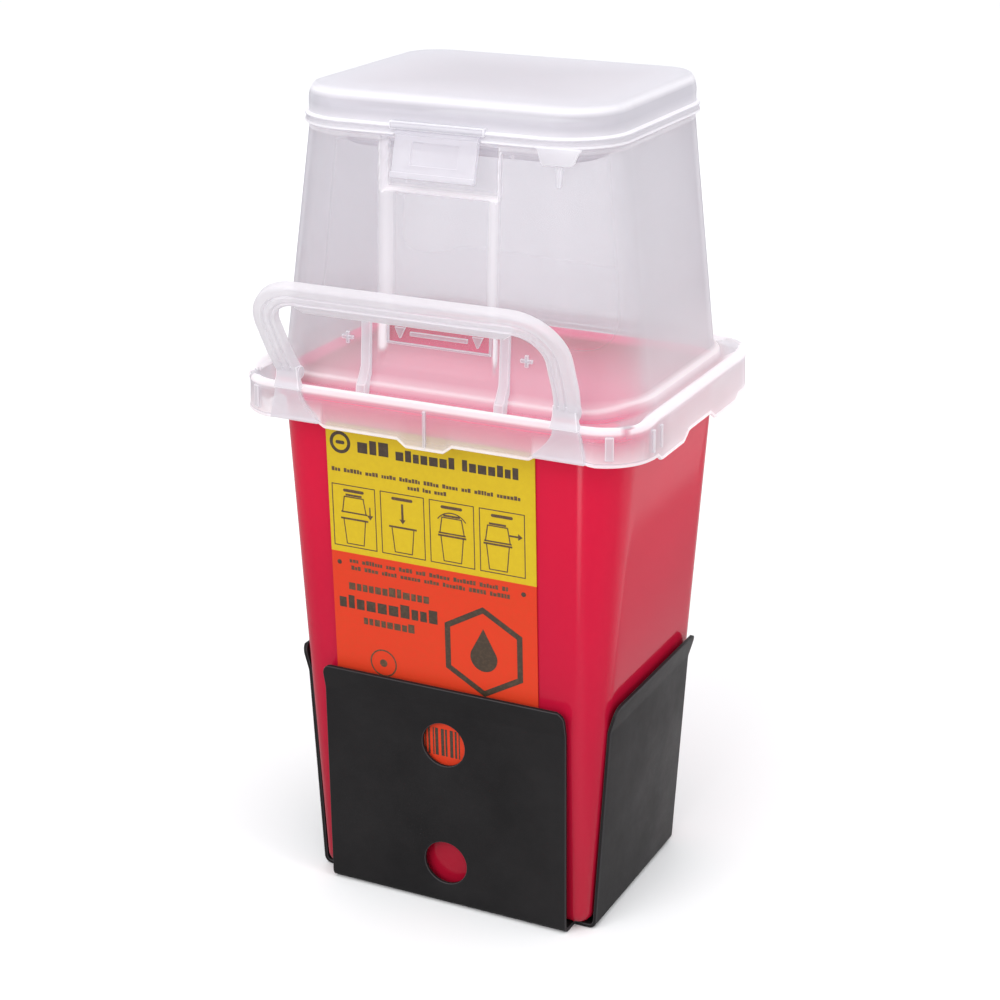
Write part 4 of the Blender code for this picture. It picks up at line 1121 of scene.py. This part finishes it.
def cap_piece(obj, sharp=40):
    finish_piece(obj, "cap", "top_cap", LOOKS["cap"], sharp)


def make_prong():
    """The lock prong that hangs from the rim, right of the latch: a flared root and a blunt tip."""
    low, top = CAP_RIM_Z - 0.0053, CAP_RIM_Z + 0.0010
    left, right = PRONG_X - PRONG_HALF, PRONG_X + PRONG_HALF
    outline = [
        (left - 0.0018, top), (left - 0.0006, top - 0.0014), (left + 0.0004, low + 0.0012),
        (left + 0.0014, low), (right - 0.0022, low + 0.0003), (right - 0.0006, low + 0.0016),
        (right + 0.0008, top - 0.0014), (right + 0.0020, top),
    ]
    back = dome_front(low) - 0.0004
    return prism("lock_prong", outline, back - 0.0013, back, "y")


def make_latch():
    thick, length = LATCH_HALF_THICK, LATCH_LENGTH
    tab = box("latch_tab", (-LATCH_HALF, -thick, -length), (LATCH_HALF, thick, 0.0))
    lip = box("lip", (-BARREL_HALF, -thick - 0.0008, -length - 0.0002), (BARREL_HALF, 0.0, -length + 0.0016))
    hook = box("hook", (-0.0120, 0.0, -length + 0.0026), (0.0120, thick + 0.0016, -length + 0.0042))
    barrel = cylinder("barrel", 0.0011, (-BARREL_HALF, 0, 0), (BARREL_HALF, 0, 0), 24)
    combine(tab, [barrel, lip, hook], "UNION")
    thumb = box("thumb", (-0.0092, -0.0030, -0.0106), (0.0092, -thick + 0.0006, -0.0026))
    combine(tab, [thumb], "DIFFERENCE")
    bevelled(tab, 0.0003, 3)
    tab.data.transform(Matrix.Translation(LATCH_PIVOT) @ Matrix.Rotation(-LATCH_LEAN, 4, "X"))
    finish_piece(tab, "latch", "cap_latch", LOOKS["latch"])


# ---------------- handle

BAND, THICKNESS, EDGE_RADIUS = 0.0090, 0.0046, 0.0012
HANDLE_HEIGHT, HANDLE_LEAN = 0.0438, math.radians(28)
HANDLE_HALF, HANDLE_ROOT, HANDLE_CORNER = HANDLE_HI.x, 0.0552, 0.0197


def handle_path():
    half = BAND / 2
    radius = HANDLE_CORNER - half
    bend_x, bend_z = HANDLE_HALF - half - radius, HANDLE_HEIGHT - half - radius
    right = [(HANDLE_ROOT, 0.0)]
    knee = (HANDLE_HALF - half - 0.0003, bend_z * 0.6)
    for step in range(1, 7):
        share = step / 6
        right.append((HANDLE_ROOT + (knee[0] - HANDLE_ROOT) * math.sin(share * math.pi / 2), knee[1] * share))
    right += turned(bend_x, bend_z, radius, 0, 90, 16)
    right += [(bend_x * (1 - step / 10), bend_z + radius) for step in range(1, 10)]
    return right + [(0.0, bend_z + radius)] + [(-u, v) for u, v in right[::-1]]


def handle_section():
    """Half the band's outline, outer edge first: rounded edges and two lengthwise grooves."""
    half, deep = BAND / 2, THICKNESS / 2
    face = [(half, 0.0)]
    face += turned(half - EDGE_RADIUS, deep - EDGE_RADIUS, EDGE_RADIUS, 0, 90, 4)
    for middle in (0.0004, -0.0026):
        face += [(middle + 0.0007, deep), (middle + 0.0004, deep - 0.0003), (middle + 0.0003, deep - 0.0008)]
        face += [(middle - 0.0003, deep - 0.0008), (middle - 0.0004, deep - 0.0003), (middle - 0.0007, deep)]
    face += turned(EDGE_RADIUS - half, deep - EDGE_RADIUS, EDGE_RADIUS, 90, 180, 4)
    face.append((-half, 0.0))
    return face + [(u, -v) for u, v in face[-2:0:-1]]


def make_webs():
    """The thin flexible webs that join the handle's legs to the feet on the lid."""
    low = Vector((0, (FOOT_FRONT_Y - SKIRT[1]) / 2, BEAD_Z - FRONT_DIP - 0.0012))
    along = Vector((0, -math.sin(HANDLE_LEAN), math.cos(HANDLE_LEAN)))
    high = HANDLE_PIVOT + along * 0.0030
    for name, side in SIDES:
        rings = []
        for step in range(15):
            share = step / 14
            half = BAND / 2 - 0.0002 + 0.0012 * (1 - share) ** 2
            middle = low.lerp(high, share)
            thick = 0.0013 + 0.0006 * (2 * share - 1) ** 2
            flat = [(-half, -thick), (half, -thick), (half, thick), (-half, thick)]
            rings.append(np.array([(side * HANDLE_ROOT + u, middle.y + v, middle.z) for u, v in flat]))
        web = bevelled(skin("handle_web_" + name, rings), 0.0003, 2)
        dress(web, LOOKS["handle"], 40)
        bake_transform(web)
        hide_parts("carry_handle")


def make_handle():
    path = handle_path()
    rings = []
    for i, (u, v) in enumerate(path):
        before = Vector(path[max(i - 1, 0)])
        after = Vector(path[min(i + 1, len(path) - 1)])
        along = (after - before).normalized()
        out = Vector((along.y, -along.x))
        rings.append(np.array([(u + out.x * a, t, v + out.y * a) for a, t in handle_section()]))
    handle = skin("handle_band", rings)
    place = Matrix.Translation(HANDLE_PIVOT) @ Matrix.Rotation(HANDLE_LEAN, 4, "X")
    base = HANDLE_HEIGHT - BAND
    left = [(-0.0390, base - 0.0026), (-0.0420, base - 0.0004), (-0.0420, base + 0.0008)]
    outline = [(0.0420, base - 0.0004), (0.0390, base - 0.0026), *left, (0.0420, base + 0.0008)]
    grip = bevelled(prism("handle_grip", outline, -0.0019, 0.0019, "y"), 0.0005, 3)
    pieces = [handle, grip]
    make_webs()
    for name, side in SIDES:
        ends = [(side * HANDLE_ROOT + half, 0, 0) for half in (-BAND / 2, BAND / 2)]
        pieces.append(bevelled(cylinder("handle_root_" + name, 0.0025, *ends, 32), 0.0004, 2))
    for piece in pieces:
        piece.data.transform(place)
        finish_piece(piece, "handle", "carry_handle", LOOKS["handle"])


# ---------------- stage

ROOM_LIGHT, OVERHEAD_LIGHT = 0.72, 1.3
FRONT_LIGHT, SIDE_LIGHT, BACK_LIGHT = 10.0, 5.0, 2.2
FLOOR_FRONT, FLOOR_BACK, FLOOR_NEAR, FLOOR_FAR = 0.35, 0.50, 0.28, 0.50
FAR_START = (0.191, 0.199)
GLEAM, GLEAM_X, GLEAM_Y, GLEAM_TURN, GLEAM_WIDTH = 5.0, 0.058, -0.036, -3, 8
CAMERA_PLACE, CAMERA_LENS = (0.3520, -0.7230, 0.4484), 79.92
CAMERA_AZIMUTH, CAMERA_ELEVATION = math.radians(25.96), math.radians(20.17)


def pale_floor():
    """A pale floor: even to the camera, darker towards the front in the light that it gives the object.

    A narrow bright strip ahead of the tub's front corner shows only in reflections, in place of a softbox.
    """
    g = Graph("pale_floor")
    seen = g.mix_color(g.remap(g.noise(3.0, 2.0), 0.0, 0.04), (0.93, 0.93, 0.935), (0.90, 0.90, 0.907))
    parts = g.node("ShaderNodeSeparateXYZ", Vector=g.place).outputs
    x, y = parts["X"], parts["Y"]
    depth = g.math("ADD", y, g.times(x, 0.25))
    shade = g.remap(depth, FLOOR_FRONT, FLOOR_BACK, -0.25, 0.10)
    far = g.times(g.rise(x, *FAR_START), g.rise(y, 0.0, 0.15))
    shade = g.math("ADD", shade, g.times(far, FLOOR_FAR))
    near = g.times(g.remap(x, 1.0, 0.0, 0.09, 0.15), g.rise(x, 0.0, 0.06))
    shade = g.math("ADD", shade, g.times(near, FLOOR_NEAR))
    bounced = g.mix_color(shade, (0.0, 0.0, 0.0), (1.0, 0.98, 0.98))
    path = g.node("ShaderNodeLightPath").outputs
    color = g.mix_color(path["Is Camera Ray"], bounced, seen)
    plain = g.node("ShaderNodeBsdfDiffuse", Color=color).outputs[0]
    across = g.math("SUBTRACT", x, GLEAM_X)
    ahead = g.math("SUBTRACT", GLEAM_Y, y)
    turn = g.math("SUBTRACT", g.math("ARCTAN2", across, ahead), math.radians(GLEAM_TURN))
    core, outside = math.radians(GLEAM_WIDTH / 3), math.radians(GLEAM_WIDTH)
    strip = g.remap(g.math("ABSOLUTE", turn), 1.0, 0.0, core, outside)
    strip = g.times(strip, g.rise(ahead, 0.24, 0.46))
    strip = g.times(strip, g.times(path["Is Glossy Ray"], GLEAM))
    shine = g.node("ShaderNodeEmission", Color=(1.0, 0.97, 0.98), Strength=strip).outputs[0]
    return g.done(g.add_shader(plain, shine))


def aim(obj, direction):
    obj.rotation_mode = "QUATERNION"
    obj.rotation_quaternion = Vector(direction).to_track_quat("-Z", "Y")


def area_light(name, size, power, place, target):
    light = bpy.data.lights.new(name, "AREA")
    light.shape = "RECTANGLE"
    light.size, light.size_y = size
    light.energy = power
    obj = linked(name, light)
    obj.location = place
    aim(obj, Vector(target) - Vector(place))


def make_stage():
    floor = mesh_object("floor", [(-6, -6, 0), (6, -6, 0), (6, 6, 0), (-6, 6, 0)], [(0, 1, 2, 3)])
    floor.location.z = BRACKET_LO.z - 0.0002
    floor.data.materials.append(pale_floor())
    world = bpy.data.worlds.new("studio")
    world.use_nodes = True
    tree = world.node_tree
    light, seen = tree.nodes["Background"], tree.nodes.new("ShaderNodeBackground")
    light.inputs["Color"].default_value = (0.97, 0.98, 1.0, 1.0)
    light.inputs["Strength"].default_value = ROOM_LIGHT
    seen.inputs["Color"].default_value = (1.0, 1.0, 1.0, 1.0)
    path, mix = tree.nodes.new("ShaderNodeLightPath"), tree.nodes.new("ShaderNodeMixShader")
    for index, output in enumerate((path.outputs["Is Camera Ray"], light.outputs[0], seen.outputs[0])):
        tree.links.new(output, mix.inputs[index])
    tree.links.new(mix.outputs[0], tree.nodes["World Output"].inputs["Surface"])
    bpy.context.scene.world = world
    sun = bpy.data.lights.new("overhead", "SUN")
    sun.energy, sun.angle = OVERHEAD_LIGHT, math.radians(80)
    aim(linked("overhead", sun), (-0.25, 0.30, -1.0))
    area_light("front", (1.0, 1.0), FRONT_LIGHT, (-0.25, -1.3, 0.75), (0.0, 0.0, 0.16))
    area_light("side", (0.5, 1.4), SIDE_LIGHT, (1.5, -0.35, 0.75), (0.0, 0.0, 0.16))
    area_light("back", (1.2, 0.9), BACK_LIGHT, (-0.7, 1.3, 0.6), (0.0, 0.0, 0.2))
    scene = bpy.context.scene
    scene.view_settings.view_transform = "Standard"
    scene.cycles.transparent_max_bounces = 32
    scene.cycles.max_bounces = 12


def make_camera():
    data = bpy.data.cameras.new("camera")
    data.sensor_width, data.lens = 36.0, CAMERA_LENS
    camera = linked("camera", data)
    camera.location = CAMERA_PLACE
    level = math.cos(CAMERA_ELEVATION)
    side, ahead = math.sin(CAMERA_AZIMUTH) * level, math.cos(CAMERA_AZIMUTH) * level
    aim(camera, (-side, ahead, -math.sin(CAMERA_ELEVATION)))
    bpy.context.scene.camera = camera


make_bracket()
make_tub()
make_label()
make_print()
make_lid()
make_cap()
make_latch()
make_handle()
make_stage()
make_camera()
